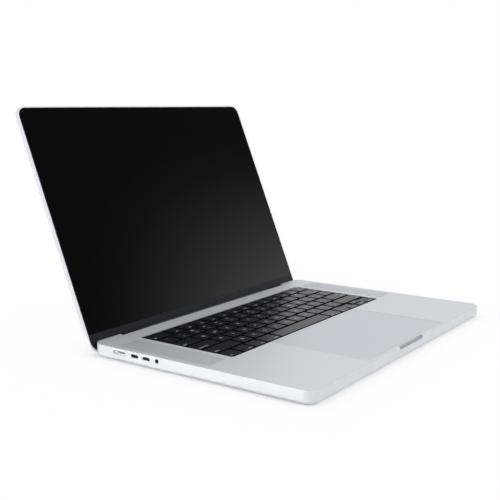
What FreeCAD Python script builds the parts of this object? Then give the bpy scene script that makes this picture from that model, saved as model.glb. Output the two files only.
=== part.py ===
"""Laptop computer with a metal case, a full keyboard, a glass trackpad and a thin hinged lid.

Millimetres. +X is the user's right, +Y points away from the user and +Z is up. The feet stand on
Z = 0 and the origin is below the middle of the open laptop's depth. Pieces of the base are drawn
with Y counted from the case's front edge, and pieces of the lid are drawn flat, with the hinge
axis on X, Y counted up the lid and Z towards the user. A Placement then puts each one in place.
"""
import FreeCAD
import Part
import Sketcher
import math
import os

doc = FreeCAD.newDocument("laptop_computer")

# Driving dimensions, and sizes that follow from them, which start with an equals sign
SIZES = (
    ("case_width", 355.7, "case and lid, left to right"),
    ("case_depth", 239.3, "case front edge to its rear, without the corner blocks' overhang"),
    ("corner_overhang", 2.5, "corner blocks past the case's rear, beside the hinge"),
    ("corner_slant_depth", 4.8, "slanted cut under the corner blocks' rear, front to back"),
    ("corner_slant_height", 5.6, "slanted cut under the corner blocks' rear, up from the bottom face"),
    ("case_height", 11.8, "bottom face to deck"),
    ("case_corner_radius", 11.0, "corners of case and lid, seen from above"),
    ("case_wall", 2.6, "side walls of the case"),
    ("deck_thickness", 1.6, "top plate of the case"),
    ("deck_edge_chamfer", 0.25, "bright cut along the deck's outer edge"),
    ("cover_height", 3.6, "bottom face to the seam between cover and case"),
    ("cover_floor", 1.2, "bottom cover's plate"),
    ("cover_edge_radius", 3.0, "rounded lower edge of the bottom cover"),
    ("seat_gap", 0.1, "gap round a piece that sits in a recess"),
    ("inner_gap", 0.3, "gap between an inner piece and the bottom cover"),
    ("foot_height", 0.9, "rubber foot"),
    ("foot_radius", 8.5, "rubber foot"),
    ("foot_draft", 20.0, "slope of a foot's side, degrees"),
    ("foot_side_inset", 26.0, "foot centre from the case's side"),
    ("foot_end_inset", 24.0, "foot centre from the case's front and rear"),
    ("screw_inset", 8.5, "cover screw from the case's side"),
    ("screw_front_inset", 8.5, "front cover screw from the case's front"),
    ("screw_middle_setback", 50.0, "middle cover screw from the case's front"),
    ("screw_rear_inset", 12.3, "rear cover screw from the case's rear"),
    ("screw_rear_setback", "=case_depth - screw_rear_inset", "rear cover screw from the case's front"),
    ("screw_shank_radius", 1.0, "cover screw"),
    ("screw_head_radius", 2.0, "cover screw"),
    ("screw_head_height", 0.8, "cover screw"),
    ("screw_reach", 5.0, "length of a screw inside its boss"),
    ("screw_clearance", 0.05, "round a screw's shank"),
    ("boss_radius", 3.6, "screw boss under the deck"),
    ("notch_width", 50.0, "thumb notch in the front edge"),
    ("notch_depth", 2.0, "thumb notch, front to back"),
    ("notch_drop", 3.4, "thumb notch, down from the deck"),
    ("notch_corner_radius", 1.6, "lower corners of the thumb notch"),
    ("key_pitch", 19.05, "from key to key along a row"),
    ("row_pitch", 18.3, "from row to row"),
    ("key_gap", 2.4, "between neighbouring keycaps"),
    ("key_corner_radius", 1.4, "keycap corners, seen from above"),
    ("key_thickness", 1.2, "keycap"),
    ("key_recess", 0.1, "keycap top below the deck"),
    ("key_travel", 1.0, "keystroke"),
    ("key_stop_gap", 0.3, "under a keycap that is pressed down"),
    ("key_guide_gap", 0.35, "round a keycap in its aperture"),
    ("arrow_gap", 1.6, "between the up and down arrow keys"),
    ("well_margin", 1.0, "keyboard well past the key field on each side"),
    ("well_inset", 133.0, "case rear to the front of the keyboard well"),
    ("well_setback", "=case_depth - well_inset", "case front edge to the keyboard well"),
    ("well_corner_radius", 3.0, "corners of the keyboard well"),
    ("web_recess", 1.0, "keyboard web's top below the deck"),
    ("web_flange", 1.2, "keyboard web's flange under the deck"),
    ("membrane_thickness", 0.3, "switch membrane under the keys"),
    ("backplate_thickness", 0.5, "keyboard backplate"),
    ("trackpad_width", 159.0, "glass trackpad"),
    ("trackpad_setback", 4.1, "case front edge to the trackpad"),
    ("trackpad_rear_gap", 2.8, "deck between trackpad and keyboard well"),
    ("trackpad_depth", "=well_setback - trackpad_setback - trackpad_rear_gap", "glass trackpad"),
    ("trackpad_gap", 0.3, "gap round the trackpad"),
    ("trackpad_recess", 0.05, "trackpad's top below the deck"),
    ("trackpad_corner_radius", 3.5, "trackpad corners"),
    ("trackpad_thickness", 1.0, "glass trackpad"),
    ("trackpad_frame_seat", 0.8, "trackpad frame past its opening, under the deck"),
    ("trackpad_frame_thickness", 1.2, "trackpad frame"),
    ("trackpad_frame_bar", 14.0, "bars of the trackpad frame"),
    ("haptic_width", 46.0, "vibrating unit under the trackpad"),
    ("haptic_depth", 34.0, "vibrating unit under the trackpad"),
    ("haptic_height", 2.6, "vibrating unit under the trackpad"),
    ("cell_gap", 2.0, "between battery cells"),
    ("cell_front_setback", 14.0, "case front edge to the battery"),
    ("cell_rear_gap", 7.3, "battery to the keyboard well"),
    ("cell_rear_setback", "=well_setback - cell_rear_gap", "case front edge to the battery's rear"),
    ("cell_height", 6.4, "battery cells beside the trackpad"),
    ("thin_cell_height", 4.2, "battery cells below the trackpad"),
    ("cell_inner_width", 76.0, "each battery cell below the trackpad"),
    ("cell_corner_radius", 3.0, "battery cells"),
    ("speaker_width", 24.0, "speaker box"),
    ("speaker_front_gap", 10.0, "middle cover screw to the speaker"),
    ("speaker_front_setback", "=screw_middle_setback + speaker_front_gap", "case front edge to the speaker"),
    ("speaker_rear_inset", 89.3, "case rear to the speaker's rear"),
    ("speaker_rear_setback", "=case_depth - speaker_rear_inset", "case front edge to the speaker's rear"),
    ("speaker_height", 6.4, "speaker box"),
    ("speaker_wall_gap", 1.0, "speaker box to the case wall"),
    ("cell_speaker_gap", 11.25, "battery to the speaker box"),
    ("cell_outer_width", "=case_width / 2 - case_wall - speaker_wall_gap - speaker_width - cell_speaker_gap"
     " - cell_inner_width - 1.5 * cell_gap", "each battery cell beside the trackpad"),
    ("speaker_cone_radius", 9.0, "speaker cone"),
    ("speaker_cone_depth", 1.2, "speaker cone"),
    ("board_drop", 7.1, "logic board's top below the deck"),
    ("board_thickness", 1.0, "logic board"),
    ("board_front_gap", 3.7, "front of the keyboard well to the logic board"),
    ("board_front_setback", "=well_setback + board_front_gap", "case front edge to the logic board"),
    ("board_rear_inset", 24.3, "case rear to the logic board's rear"),
    ("board_rear_setback", "=case_depth - board_rear_inset", "case front edge to the logic board's rear"),
    ("board_side_gap", 2.0, "logic board to the case wall"),
    ("chip_width", 36.0, "processor package"),
    ("chip_thickness", 1.0, "processor package"),
    ("chip_inset", 71.3, "case rear to the processor's middle"),
    ("chip_setback", "=case_depth - chip_inset", "case front edge to the processor's middle"),
    ("fan_spread", 88.0, "fan axis from the middle"),
    ("fan_inset", 67.3, "case rear to the fan axes"),
    ("fan_setback", "=case_depth - fan_inset", "case front edge to the fan axes"),
    ("fan_width", 62.0, "fan housing"),
    ("fan_depth", 68.0, "fan housing"),
    ("fan_height", 6.4, "fan housing"),
    ("fan_plate", 0.6, "fan housing's top and bottom plates"),
    ("fan_cavity_radius", 28.0, "round chamber of the fan housing"),
    ("fan_inlet_radius", 17.0, "air inlet of the fan housing"),
    ("fan_bay_gap", 1.5, "logic board to fan housing"),
    ("board_waist_setback", "=fan_setback - fan_depth / 2 - fan_bay_gap", "board's edge before a fan"),
    ("rotor_radius", 26.0, "tips of the fan blades"),
    ("rotor_hub_radius", 10.0, "fan hub"),
    ("rotor_hub_wall", 1.6, "fan hub's rim"),
    ("rotor_gap", 0.4, "fan rotor to the housing plates"),
    ("rotor_blade_thickness", 0.8, "fan blade"),
    ("rotor_blade_lean", 6.0, "how far a blade's root stands beside the radius"),
    ("fan_shaft_radius", 1.0, "fan shaft"),
    ("fan_bearing_radius", 2.4, "fan bearing post"),
    ("fan_bearing_gap", 0.05, "fan shaft in its bearing"),
    ("pipe_thickness", 1.1, "flat heat pipe"),
    ("pipe_width", 12.0, "flat heat pipe"),
    ("spreader_width", 56.0, "heat spreader on the processor"),
    ("spreader_depth", 40.0, "heat spreader on the processor"),
    ("fin_depth", 14.0, "cooling fins, front to back"),
    ("fin_thickness", 0.8, "cooling fin"),
    ("fin_pitch", 3.9, "between cooling fins"),
    ("vent_width", 2.0, "exhaust slot in the rear wall"),
    ("vent_height", 3.6, "exhaust slot in the rear wall"),
    ("vent_pitch", 3.9, "between exhaust slots"),
    ("vent_first", 56.0, "innermost exhaust slot from the middle"),
    ("port_drop", 3.95, "middle of the sockets below the deck"),
    ("port_wall", 0.3, "metal shell of a socket"),
    ("port_back", 0.8, "back wall of a socket"),
    ("port_face_recess", 0.3, "socket mouth behind the case's side"),
    ("data_width", 8.9, "data socket's mouth in the case"),
    ("data_height", 3.1, "data socket's mouth in the case"),
    ("data_depth", 7.6, "data socket"),
    ("data_tongue_width", 6.6, "tongue in a data socket"),
    ("data_tongue_thickness", 0.7, "tongue in a data socket"),
    ("left_data_front_inset", 65.5, "case rear to the front data socket on the left"),
    ("left_data_front_setback", "=case_depth - left_data_front_inset", "front data socket on the left"),
    ("left_data_rear_inset", 51.3, "case rear to the rear data socket on the left"),
    ("left_data_rear_setback", "=case_depth - left_data_rear_inset", "rear data socket on the left"),
    ("right_data_inset", 51.3, "case rear to the data socket on the right"),
    ("right_data_setback", "=case_depth - right_data_inset", "data socket on the right"),
    ("charging_width", 15.5, "charging socket's mouth"),
    ("charging_height", 4.4, "charging socket's mouth"),
    ("charging_depth", 5.0, "charging socket"),
    ("charging_recess", 2.2, "how far a charging plug goes in"),
    ("charging_inset", 32.3, "case rear to the charging socket's middle"),
    ("charging_setback", "=case_depth - charging_inset", "case front edge to the charging socket's middle"),
    ("contact_radius", 0.6, "charging contact"),
    ("contact_pitch", 2.2, "between charging contacts"),
    ("contact_height", 0.8, "charging contact"),
    ("audio_bore_radius", 1.75, "audio socket's bore"),
    ("audio_nose_radius", 2.1, "audio socket's mouth in the case"),
    ("audio_depth", 15.0, "audio socket"),
    ("audio_bore_length", 14.0, "audio socket's bore"),
    ("audio_inset", 78.0, "case rear to the audio socket's middle"),
    ("audio_setback", "=case_depth - audio_inset", "case front edge to the audio socket's middle"),
    ("video_width", 15.2, "video socket's mouth"),
    ("video_height", 4.8, "video socket's mouth"),
    ("video_drop", 4.3, "middle of the video socket below the deck"),
    ("video_depth", 11.5, "video socket"),
    ("video_tongue_width", 10.5, "tongue in the video socket"),
    ("video_tongue_thickness", 1.2, "tongue in the video socket"),
    ("video_inset", 33.3, "case rear to the video socket's middle"),
    ("video_setback", "=case_depth - video_inset", "case front edge to the video socket's middle"),
    ("card_width", 25.4, "card slot's mouth"),
    ("card_height", 2.7, "card slot's mouth"),
    ("card_depth", 20.0, "card slot"),
    ("card_inset", 72.3, "case rear to the card slot's middle"),
    ("card_setback", "=case_depth - card_inset", "case front edge to the card slot's middle"),
    ("socket_corner_share", 0.46, "a socket mouth's corner radius as a share of its height"),
    ("hinge_overhang", 1.95, "hinge axis behind the case's rear"),
    ("hinge_setback", "=case_depth + hinge_overhang", "case front edge to the hinge axis"),
    ("hinge_drop", 3.1, "hinge axis below the deck"),
    ("hinge_bay_depth", 2.5, "recess in the case's rear for the hinge"),
    ("hinge_spread", 112.0, "inner end of each hinge from the middle"),
    ("knuckle_length", 12.0, "each hinge knuckle along the axis"),
    ("knuckle_radius", 3.0, "hinge knuckles and barrel"),
    ("knuckle_gap", 0.4, "between hinge knuckles along the axis"),
    ("hinge_bay_margin", 4.6, "recess in the case's rear past each hinge"),
    ("hinge_bay_width", "=2 * (hinge_spread + 2 * knuckle_length + knuckle_gap + hinge_bay_margin)",
     "recess in the case's rear for the hinge"),
    ("pin_radius", 1.5, "hinge pin"),
    ("pin_clearance", 0.03, "hinge pin in its knuckles"),
    ("bracket_thickness", 1.6, "hinge bracket's plate"),
    ("bracket_length", 27.0, "hinge bracket's plate along the case's rear"),
    ("bracket_depth", 12.6, "hinge bracket's plate, front to back"),
    ("arm_thickness", 2.4, "hinge bracket's arm"),
    ("arm_gap", 0.4, "hinge bracket's arm in the rear wall"),
    ("leaf_length", 27.0, "hinge leaf's plate along the lid"),
    ("leaf_height", 11.0, "top of the hinge leaf's plate above the axis"),
    ("leaf_thickness", 1.2, "hinge leaf's plate"),
    ("leaf_neck", 4.0, "neck between hinge leaf and knuckle"),
    ("open_angle", 112.3, "lid from closed to the stored pose, degrees"),
    ("lid_foot", 6.85, "lid below the hinge axis"),
    ("lid_depth", "=hinge_setback + lid_foot", "lid, top edge to foot"),
    ("lid_thickness", 4.5, "lid"),
    ("lid_gap", 0.5, "closed lid's glass above the deck"),
    ("lid_edge_radius", 1.2, "rounded rear edges of the lid"),
    ("lid_foot_slant", 2.4, "slanted cut along the rear edge of the lid's foot"),
    ("lid_skin", 0.8, "lid's rear plate"),
    ("rim_width", 1.5, "metal rim round the display glass"),
    ("ledge_width", 3.0, "step under the display glass's edge"),
    ("glass_thickness", 0.9, "display glass"),
    ("panel_thickness", 2.0, "display panel"),
    ("panel_gap", 0.6, "display panel to the lid's inner walls"),
    ("panel_foot", 12.0, "display panel's lower edge above the hinge axis"),
    ("camera_bay", 9.0, "room above the display panel for the camera"),
    ("camera_width", 18.0, "camera board"),
    ("camera_height", 6.0, "camera board"),
    ("camera_thickness", 1.2, "camera board"),
    ("camera_lens_radius", 1.8, "camera lens"),
    ("gasket_width", 0.8, "rubber gasket on the display glass"),
    ("gasket_height", 0.25, "rubber gasket on the display glass"),
    ("strip_height", 10.5, "hinge cover's upper edge above the axis"),
    ("neck_width", 4.4, "neck between hinge cover and barrel"),
)

# Levels and places that follow from the driving dimensions
PLACES = (
    ("half_width", "sizes.case_width / 2"),
    ("deck", "sizes.foot_height + sizes.case_height"),
    ("deck_under", "places.deck - sizes.deck_thickness"),
    ("seam", "sizes.foot_height + sizes.cover_height"),
    ("floor", "sizes.foot_height + sizes.cover_floor"),
    ("case_rear", "sizes.case_depth + sizes.corner_overhang"),
    ("inner_low", "places.floor + sizes.inner_gap"),
    ("inner_side", "places.half_width - sizes.case_wall"),
    ("bay_wall", "sizes.case_depth - sizes.hinge_bay_depth"),
    ("inner_rear", "places.bay_wall - sizes.case_wall"),
    ("inner_corner_radius", "sizes.case_corner_radius - sizes.case_wall"),
    ("key_top", "places.deck - sizes.key_recess"),
    ("key_low", "places.key_top - sizes.key_thickness"),
    ("membrane_top", "places.key_low - sizes.key_travel - sizes.key_stop_gap"),
    ("backplate_top", "places.membrane_top - sizes.membrane_thickness"),
    ("backplate_low", "places.backplate_top - sizes.backplate_thickness"),
    ("trackpad_top", "places.deck - sizes.trackpad_recess"),
    ("trackpad_frame_low", "places.deck_under - sizes.trackpad_frame_thickness"),
    ("trackpad_rear", "sizes.trackpad_setback + sizes.trackpad_depth"),
    ("board_top", "places.deck - sizes.board_drop"),
    ("board_low", "places.board_top - sizes.board_thickness"),
    ("chip_low", "places.board_low - sizes.chip_thickness"),
    ("port_level", "places.deck - sizes.port_drop"),
    ("video_level", "places.deck - sizes.video_drop"),
    ("socket_mouth", "places.half_width - sizes.port_face_recess"),
    ("fan_top", "places.inner_low + sizes.fan_height"),
    ("fan_rear", "sizes.fan_setback + sizes.fan_depth / 2"),
    ("fin_front", "places.fan_rear + sizes.fan_bay_gap"),
    ("pipe_top", "places.inner_low + sizes.pipe_thickness"),
    ("hinge_level", "places.deck - sizes.hinge_drop"),
    ("knuckle_split", "sizes.hinge_spread + sizes.knuckle_length"),
    ("leaf_start", "places.knuckle_split + sizes.knuckle_gap"),
    ("leaf_end", "places.leaf_start + sizes.knuckle_length"),
    ("glass_face", "-(sizes.hinge_drop + sizes.lid_gap)"),
    ("glass_back", "places.glass_face - sizes.glass_thickness"),
    ("lid_back", "places.glass_face - sizes.lid_thickness"),
    ("lid_inside", "places.lid_back + sizes.lid_skin"),
    ("lid_top", "sizes.hinge_setback"),
    ("lid_bottom", "sizes.hinge_setback - sizes.lid_depth"),
    ("pocket_inset", "sizes.rim_width + sizes.ledge_width"),
    ("lean", "(180 - sizes.open_angle) * 1 deg"),
    ("lid_reach", "(places.lid_top - sizes.lid_edge_radius) * cos(places.lean)"
     " - (places.lid_back + sizes.lid_edge_radius) * sin(places.lean) + sizes.lid_edge_radius"),
    ("setback", "(sizes.hinge_setback + places.lid_reach) / 2"),
)

# The keyboard, front row first: each group's node, width in key pitches and number of keys
KEY_ROWS = (
    (("left_modifier_keys", 1, 3), ("left_command_key", 1.25, 1), ("space_bar", 5, 1),
     ("right_command_key", 1.25, 1), ("right_option_key", 1, 1)),
    (("left_shift_key", 2.25, 1), ("lower_letter_keys", 1, 10), ("right_shift_key", 2.25, 1)),
    (("caps_lock_key", 1.75, 1), ("home_letter_keys", 1, 11), ("return_key", 1.75, 1)),
    (("tab_key", 1.5, 1), ("upper_letter_keys", 1, 13)),
    (("number_keys", 1, 13), ("delete_key", 1.5, 1)),
    (("escape_key", 1.5, 1), ("function_keys", 1, 12), ("power_key", 1, 1)),
)
ROW_UNITS = 14.5

# The arrow keys at the right end of the front row: node, place in key pitches, lower or upper half
ARROW_KEYS = (
    ("left_arrow_key", 11.5, "lower"),
    ("down_arrow_key", 12.5, "lower"),
    ("up_arrow_key", 12.5, "upper"),
    ("right_arrow_key", 13.5, "lower"),
)

ROTOR_BLADES = 17
FINS_PER_SIDE = 15
VENTS_PER_SIDE = 14
CHARGING_CONTACTS = 5
SIDES = (("left", "-1"), ("right", "1"))


def fill_sheet(name, rows):
    """A spreadsheet with one named cell for each row: its alias, its content and a note."""
    sheet = doc.addObject("Spreadsheet::Sheet", name)
    for line, (alias, content, note) in enumerate(rows, start=1):
        sheet.set(f"A{line}", note)
        sheet.set(f"B{line}", content)
        sheet.setAlias(f"B{line}", alias)
    doc.recompute()
    return sheet


sizes = fill_sheet("sizes", [(alias, str(value), note) for alias, value, note in SIZES])
places = fill_sheet("places", [(alias, "=" + rule.replace("places.", ""), alias) for alias, rule in PLACES])
sub_parts = []


def number(rule):
    """The present value of a rule written with the sheets' aliases."""
    return float(sizes.evalExpression(rule))


def new_body(label, in_lid=False):
    """A sub-part: of the base, counted from the front edge, or of the lid, counted from the hinge."""
    body = doc.addObject("PartDesign::Body", label)
    body.Label = label
    if in_lid:
        turn = FreeCAD.Rotation(FreeCAD.Vector(1, 0, 0), number("180 - sizes.open_angle"))
        body.Placement = FreeCAD.Placement(FreeCAD.Vector(), turn)
        body.setExpression("Placement.Rotation.Angle", "180 - sizes.open_angle")
        body.setExpression("Placement.Base.y", "sizes.hinge_setback - places.setback")
        body.setExpression("Placement.Base.z", "places.hinge_level")
    else:
        body.setExpression("Placement.Base.y", "-places.setback")
    sub_parts.append(body)
    return body


def sketch_on(body, plane, level):
    """An empty sketch parallel to one of the body's origin planes, at a level along its normal."""
    origin = [feature for feature in body.Origin.OriginFeatures if feature.Role == plane]
    sketch = body.newObject("Sketcher::SketchObject", "profile")
    sketch.AttachmentSupport = [(origin[0], "")]
    sketch.MapMode = "FlatFace"
    sketch.setExpression("AttachmentOffset.Base.z", level)
    return sketch


class Profile:
    """The lines, arcs and rules of one sketch, collected first so that it is solved only once."""

    def __init__(self):
        self.shapes = []
        self.links = []
        self.rules = []

    def add(self, shape):
        """Adds a line, arc or circle and gives its number."""
        self.shapes.append(shape)
        return len(self.shapes) - 1

    def link(self, *terms):
        """Adds a geometric constraint."""
        self.links.append(Sketcher.Constraint(*terms))

    def hold(self, rule, *terms):
        """Adds a dimension whose value follows a rule on the sheets."""
        self.rules.append((len(self.links), rule))
        self.link(*terms, number(rule))

    def draw_in(self, sketch):
        """Puts everything into the sketch."""
        sketch.addGeometry(self.shapes, False)
        sketch.addConstraint(self.links)
        for index, rule in self.rules:
            sketch.setExpression(f"Constraints[{index}]", rule)


def polygon(*corners):
    """A closed outline of straight lines through the corners."""
    def draw(profile):
        count = len(corners)
        spots = [FreeCAD.Vector(number(across), number(along), 0) for across, along in corners]
        lines = [profile.add(Part.LineSegment(spot, spots[(index + 1) % count]))
                 for index, spot in enumerate(spots)]
        for index, (across, along) in enumerate(corners):
            profile.link("Coincident", lines[index], 2, lines[(index + 1) % count], 1)
            profile.hold(across, "DistanceX", lines[index], 1)
            profile.hold(along, "DistanceY", lines[index], 1)
    return draw


def rectangle(left, low, right, high):
    """A rectangle between two corners."""
    return polygon((left, low), (right, low), (right, high), (left, high))


def rounded(left, low, right, high, radius):
    """A rectangle between two corners, with round corners."""
    def draw(profile):
        x_low, y_low, x_high, y_high, round_off = [number(rule) for rule in (left, low, right, high, radius)]
        quarter = math.pi / 2
        x_in, x_out = x_low + round_off, x_high - round_off
        y_in, y_out = y_low + round_off, y_high - round_off
        runs = (((x_in, y_low), (x_out, y_low)), ((x_high, y_in), (x_high, y_out)),
                ((x_out, y_high), (x_in, y_high)), ((x_low, y_out), (x_low, y_in)))
        centres = ((x_out, y_in), (x_out, y_out), (x_in, y_out), (x_in, y_in))
        lines, arcs = [], []
        for index, (start, end) in enumerate(runs):
            lines.append(profile.add(Part.LineSegment(FreeCAD.Vector(*start, 0), FreeCAD.Vector(*end, 0))))
            ring = Part.Circle(FreeCAD.Vector(*centres[index], 0), FreeCAD.Vector(0, 0, 1), round_off)
            arcs.append(profile.add(Part.ArcOfCircle(ring, (index - 1) * quarter, index * quarter)))
        for index in range(4):
            profile.link("Tangent", lines[index], 2, arcs[index], 1)
            profile.link("Tangent", arcs[index], 2, lines[(index + 1) % 4], 1)
            profile.link(("Horizontal", "Vertical")[index % 2], lines[index])
        for arc in arcs[1:]:
            profile.link("Equal", arcs[0], arc)
        profile.hold(radius, "Radius", arcs[0])
        profile.hold(low, "DistanceY", lines[0], 1)
        profile.hold(right, "DistanceX", lines[1], 1)
        profile.hold(high, "DistanceY", lines[2], 1)
        profile.hold(left, "DistanceX", lines[3], 1)
    return draw


def circle(across, along, radius):
    """A circle about a point."""
    def draw(profile):
        middle = FreeCAD.Vector(number(across), number(along), 0)
        ring = profile.add(Part.Circle(middle, FreeCAD.Vector(0, 0, 1), number(radius)))
        profile.hold(across, "DistanceX", ring, 3)
        profile.hold(along, "DistanceY", ring, 3)
        profile.hold(radius, "Radius", ring)
    return draw


def drawn(body, plane, level, loops):
    """A sketch of the loops, parallel to an origin plane of the body."""
    sketch = sketch_on(body, plane, level)
    profile = Profile()
    for draw in loops:
        draw(profile)
    profile.draw_in(sketch)
    return sketch


def prism(kind, body, low, high, loops, plane):
    """A pad or pocket of the loops, from one level to a higher one along the plane's normal."""
    sketch = drawn(body, plane, low, loops)
    feature = body.newObject(f"PartDesign::{kind}", kind.lower())
    feature.Profile = sketch
    feature.setExpression("Length", f"({high}) - ({low})")
    feature.Reversed = kind == "Pocket"
    return feature


def pad(body, low, high, *loops, plane="XY_Plane"):
    """Material between two levels."""
    return prism("Pad", body, low, high, loops, plane)


def pocket(body, low, high, *loops, plane="XY_Plane"):
    """A cut between two levels."""
    return prism("Pocket", body, low, high, loops, plane)


def repeat_along_x(body, feature, spacing, count):
    """Copies of a feature in a row along X."""
    pattern = body.newObject("PartDesign::LinearPattern", "row")
    pattern.Originals = [feature]
    pattern.Direction = (feature.Profile[0], ["H_Axis"])
    pattern.Occurrences = count
    pattern.setExpression("Length", f"({spacing}) * {count - 1}")
    body.Tip = pattern


def dress_level(body, kind, level, size_name, size):
    """A fillet or chamfer on every edge that lies at one level of the body."""
    doc.recompute()
    base = body.Tip
    height = number(level)
    names = [
        f"Edge{index}" for index, edge in enumerate(base.Shape.Edges, start=1)
        if abs(edge.BoundBox.ZMin - height) < 1e-4 and abs(edge.BoundBox.ZMax - height) < 1e-4]
    feature = body.newObject(f"PartDesign::{kind}", kind.lower())
    feature.Base = (base, names)
    feature.setExpression(size_name, size)


def sorted_sides(side, inner, low, outer, high):
    """A rectangle's sides for a piece on the right, or mirrored for one on the left."""
    if side == "1":
        return inner, low, outer, high
    return f"-({outer})", low, f"-({inner})", high


def along_axis(side, near, far):
    """Two places along X for a piece on the right, or mirrored for one on the left."""
    if side == "1":
        return near, far
    return f"-({far})", f"-({near})"


def case_outline():
    """The outline of the case, seen from above."""
    return rounded("-places.half_width", "0", "places.half_width", "places.case_rear",
                   "sizes.case_corner_radius")


def case_cavity():
    """The outline of the room inside the case walls, seen from above."""
    return rounded("-places.inner_side", "sizes.case_wall", "places.inner_side", "places.inner_rear",
                   "places.inner_corner_radius")


def hinge_bay():
    """The recess behind the case's rear wall, seen from above."""
    return rectangle("-sizes.hinge_bay_width / 2", "places.bay_wall", "sizes.hinge_bay_width / 2",
                     "places.case_rear + sizes.case_wall")


def slant_corners(body):
    """Cuts the rear lower edge of the corner blocks at a slant, clear of the lid's foot."""
    high = "sizes.foot_height + sizes.corner_slant_height"
    behind = "places.case_rear + sizes.case_wall"
    pocket(body, "-places.half_width", "places.half_width",
           polygon(("places.case_rear - sizes.corner_slant_depth", "sizes.foot_height"),
                   (behind, "sizes.foot_height"), (behind, high), ("places.case_rear", high)),
           plane="YZ_Plane")


SCREW_SPOTS = [
    (f"{side} * (places.half_width - sizes.screw_inset)", setback)
    for _, side in SIDES
    for setback in ("sizes.screw_front_inset", "sizes.screw_middle_setback", "sizes.screw_rear_setback")]


def screw_circles(radius):
    """One circle at each cover screw."""
    return [circle(across, along, radius) for across, along in SCREW_SPOTS]


# Sockets in the case's sides: the mouth's middle from the front edge, its level, width and height
LEFT_MOUTHS = (
    ("sizes.charging_setback", "places.port_level", "sizes.charging_width", "sizes.charging_height"),
    ("sizes.left_data_rear_setback", "places.port_level", "sizes.data_width", "sizes.data_height"),
    ("sizes.left_data_front_setback", "places.port_level", "sizes.data_width", "sizes.data_height"),
)
RIGHT_MOUTHS = (
    ("sizes.video_setback", "places.video_level", "sizes.video_width", "sizes.video_height"),
    ("sizes.right_data_setback", "places.port_level", "sizes.data_width", "sizes.data_height"),
    ("sizes.card_setback", "places.port_level", "sizes.card_width", "sizes.card_height"),
)


def mouth(setback, level, width, height, inset="0"):
    """The rounded mouth of a socket, seen from the side of the case."""
    return rounded(f"{setback} - {width} / 2 + {inset}", f"{level} - {height} / 2 + {inset}",
                   f"{setback} + {width} / 2 - {inset}", f"{level} + {height} / 2 - {inset}",
                   f"({height} - 2 * {inset}) * sizes.socket_corner_share")


def key_outline(row, start, width, half="whole", allowance="0"):
    """A key's four sides: its row, its left edge and width in key pitches, and room left round it."""
    left = f"(({start}) - {ROW_UNITS} / 2) * sizes.key_pitch + sizes.key_gap / 2 - {allowance}"
    right = f"(({start}) + {width} - {ROW_UNITS} / 2) * sizes.key_pitch - sizes.key_gap / 2 + {allowance}"
    front = f"sizes.well_setback + sizes.well_margin + {row} * sizes.row_pitch + sizes.key_gap / 2"
    depth = "(sizes.row_pitch - sizes.key_gap)"
    half_depth = f"({depth} - sizes.arrow_gap) / 2"
    low = {"whole": "0", "lower": "0", "upper": f"{half_depth} + sizes.arrow_gap"}[half]
    high = {"whole": depth, "lower": half_depth, "upper": depth}[half]
    return left, f"{front} + {low} - {allowance}", right, f"{front} + {high} + {allowance}"


def key_groups():
    """Every group of keys: node, row, first left edge, width, number of keys and part of the row."""
    for row, groups in enumerate(KEY_ROWS):
        start = 0
        for node, width, count in groups:
            yield node, row, start, width, count, "whole"
            start += width * count
    for node, start, half in ARROW_KEYS:
        yield node, 0, start, 1, 1, half


def well_outline(outset):
    """The keyboard well, seen from above, made larger by a margin."""
    half = f"{ROW_UNITS} / 2 * sizes.key_pitch + sizes.well_margin + {outset}"
    rear = f"sizes.well_setback + 2 * sizes.well_margin + {len(KEY_ROWS)} * sizes.row_pitch + {outset}"
    return rounded(f"-({half})", f"sizes.well_setback - ({outset})", half, rear, "sizes.well_corner_radius")


def trackpad_outline(outset):
    """The trackpad, seen from above, made larger by a margin."""
    half = f"sizes.trackpad_width / 2 + {outset}"
    return rounded(f"-({half})", f"sizes.trackpad_setback - ({outset})", half,
                   f"places.trackpad_rear + {outset}", f"sizes.trackpad_corner_radius + {outset}")


def make_upper_case():
    """Deck and side walls, milled from one block, with openings for keys, trackpad and sockets."""
    body = new_body("upper_case")
    pad(body, "places.seam", "places.deck", case_outline())
    dress_level(body, "Chamfer", "places.deck", "Size", "sizes.deck_edge_chamfer")
    pocket(body, "places.seam", "places.deck_under", case_cavity())
    pad(body, "places.floor", "places.deck_under", *screw_circles("sizes.boss_radius"))
    pocket(body, "places.floor", "places.floor + sizes.screw_reach + sizes.screw_clearance",
           *screw_circles("sizes.screw_shank_radius + sizes.screw_clearance"))
    pocket(body, "places.seam", "places.deck", hinge_bay())
    slant_corners(body)
    pocket(body, "places.deck_under", "places.deck", well_outline("0"),
           trackpad_outline("sizes.trackpad_gap"))
    pocket(body, "-sizes.notch_depth", "0",
           rounded("-sizes.notch_width / 2", "places.deck - sizes.notch_drop", "sizes.notch_width / 2",
                   "places.deck + sizes.notch_drop", "sizes.notch_corner_radius"), plane="XZ_Plane")
    left_holes = [mouth(*place) for place in LEFT_MOUTHS]
    left_holes.append(circle("sizes.audio_setback", "places.port_level", "sizes.audio_nose_radius"))
    right_holes = [mouth(*place) for place in RIGHT_MOUTHS]
    pocket(body, "-places.half_width", "-places.inner_side", *left_holes, plane="YZ_Plane")
    pocket(body, "places.inner_side", "places.half_width", *right_holes, plane="YZ_Plane")
    arms = [rectangle(*sorted_sides(side, "sizes.hinge_spread - sizes.arm_gap", "places.hinge_level"
                                    " - sizes.arm_thickness / 2 - sizes.arm_gap",
                                    "places.knuckle_split + sizes.arm_gap", "places.deck_under"))
            for _, side in SIDES]
    pocket(body, "-places.bay_wall", "-places.inner_rear", *arms, plane="XZ_Plane")
    slots = pocket(body, "-places.bay_wall", "-places.inner_rear", *vent_slots(), plane="XZ_Plane")
    repeat_along_x(body, slots, "sizes.vent_pitch", VENTS_PER_SIDE)


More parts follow.
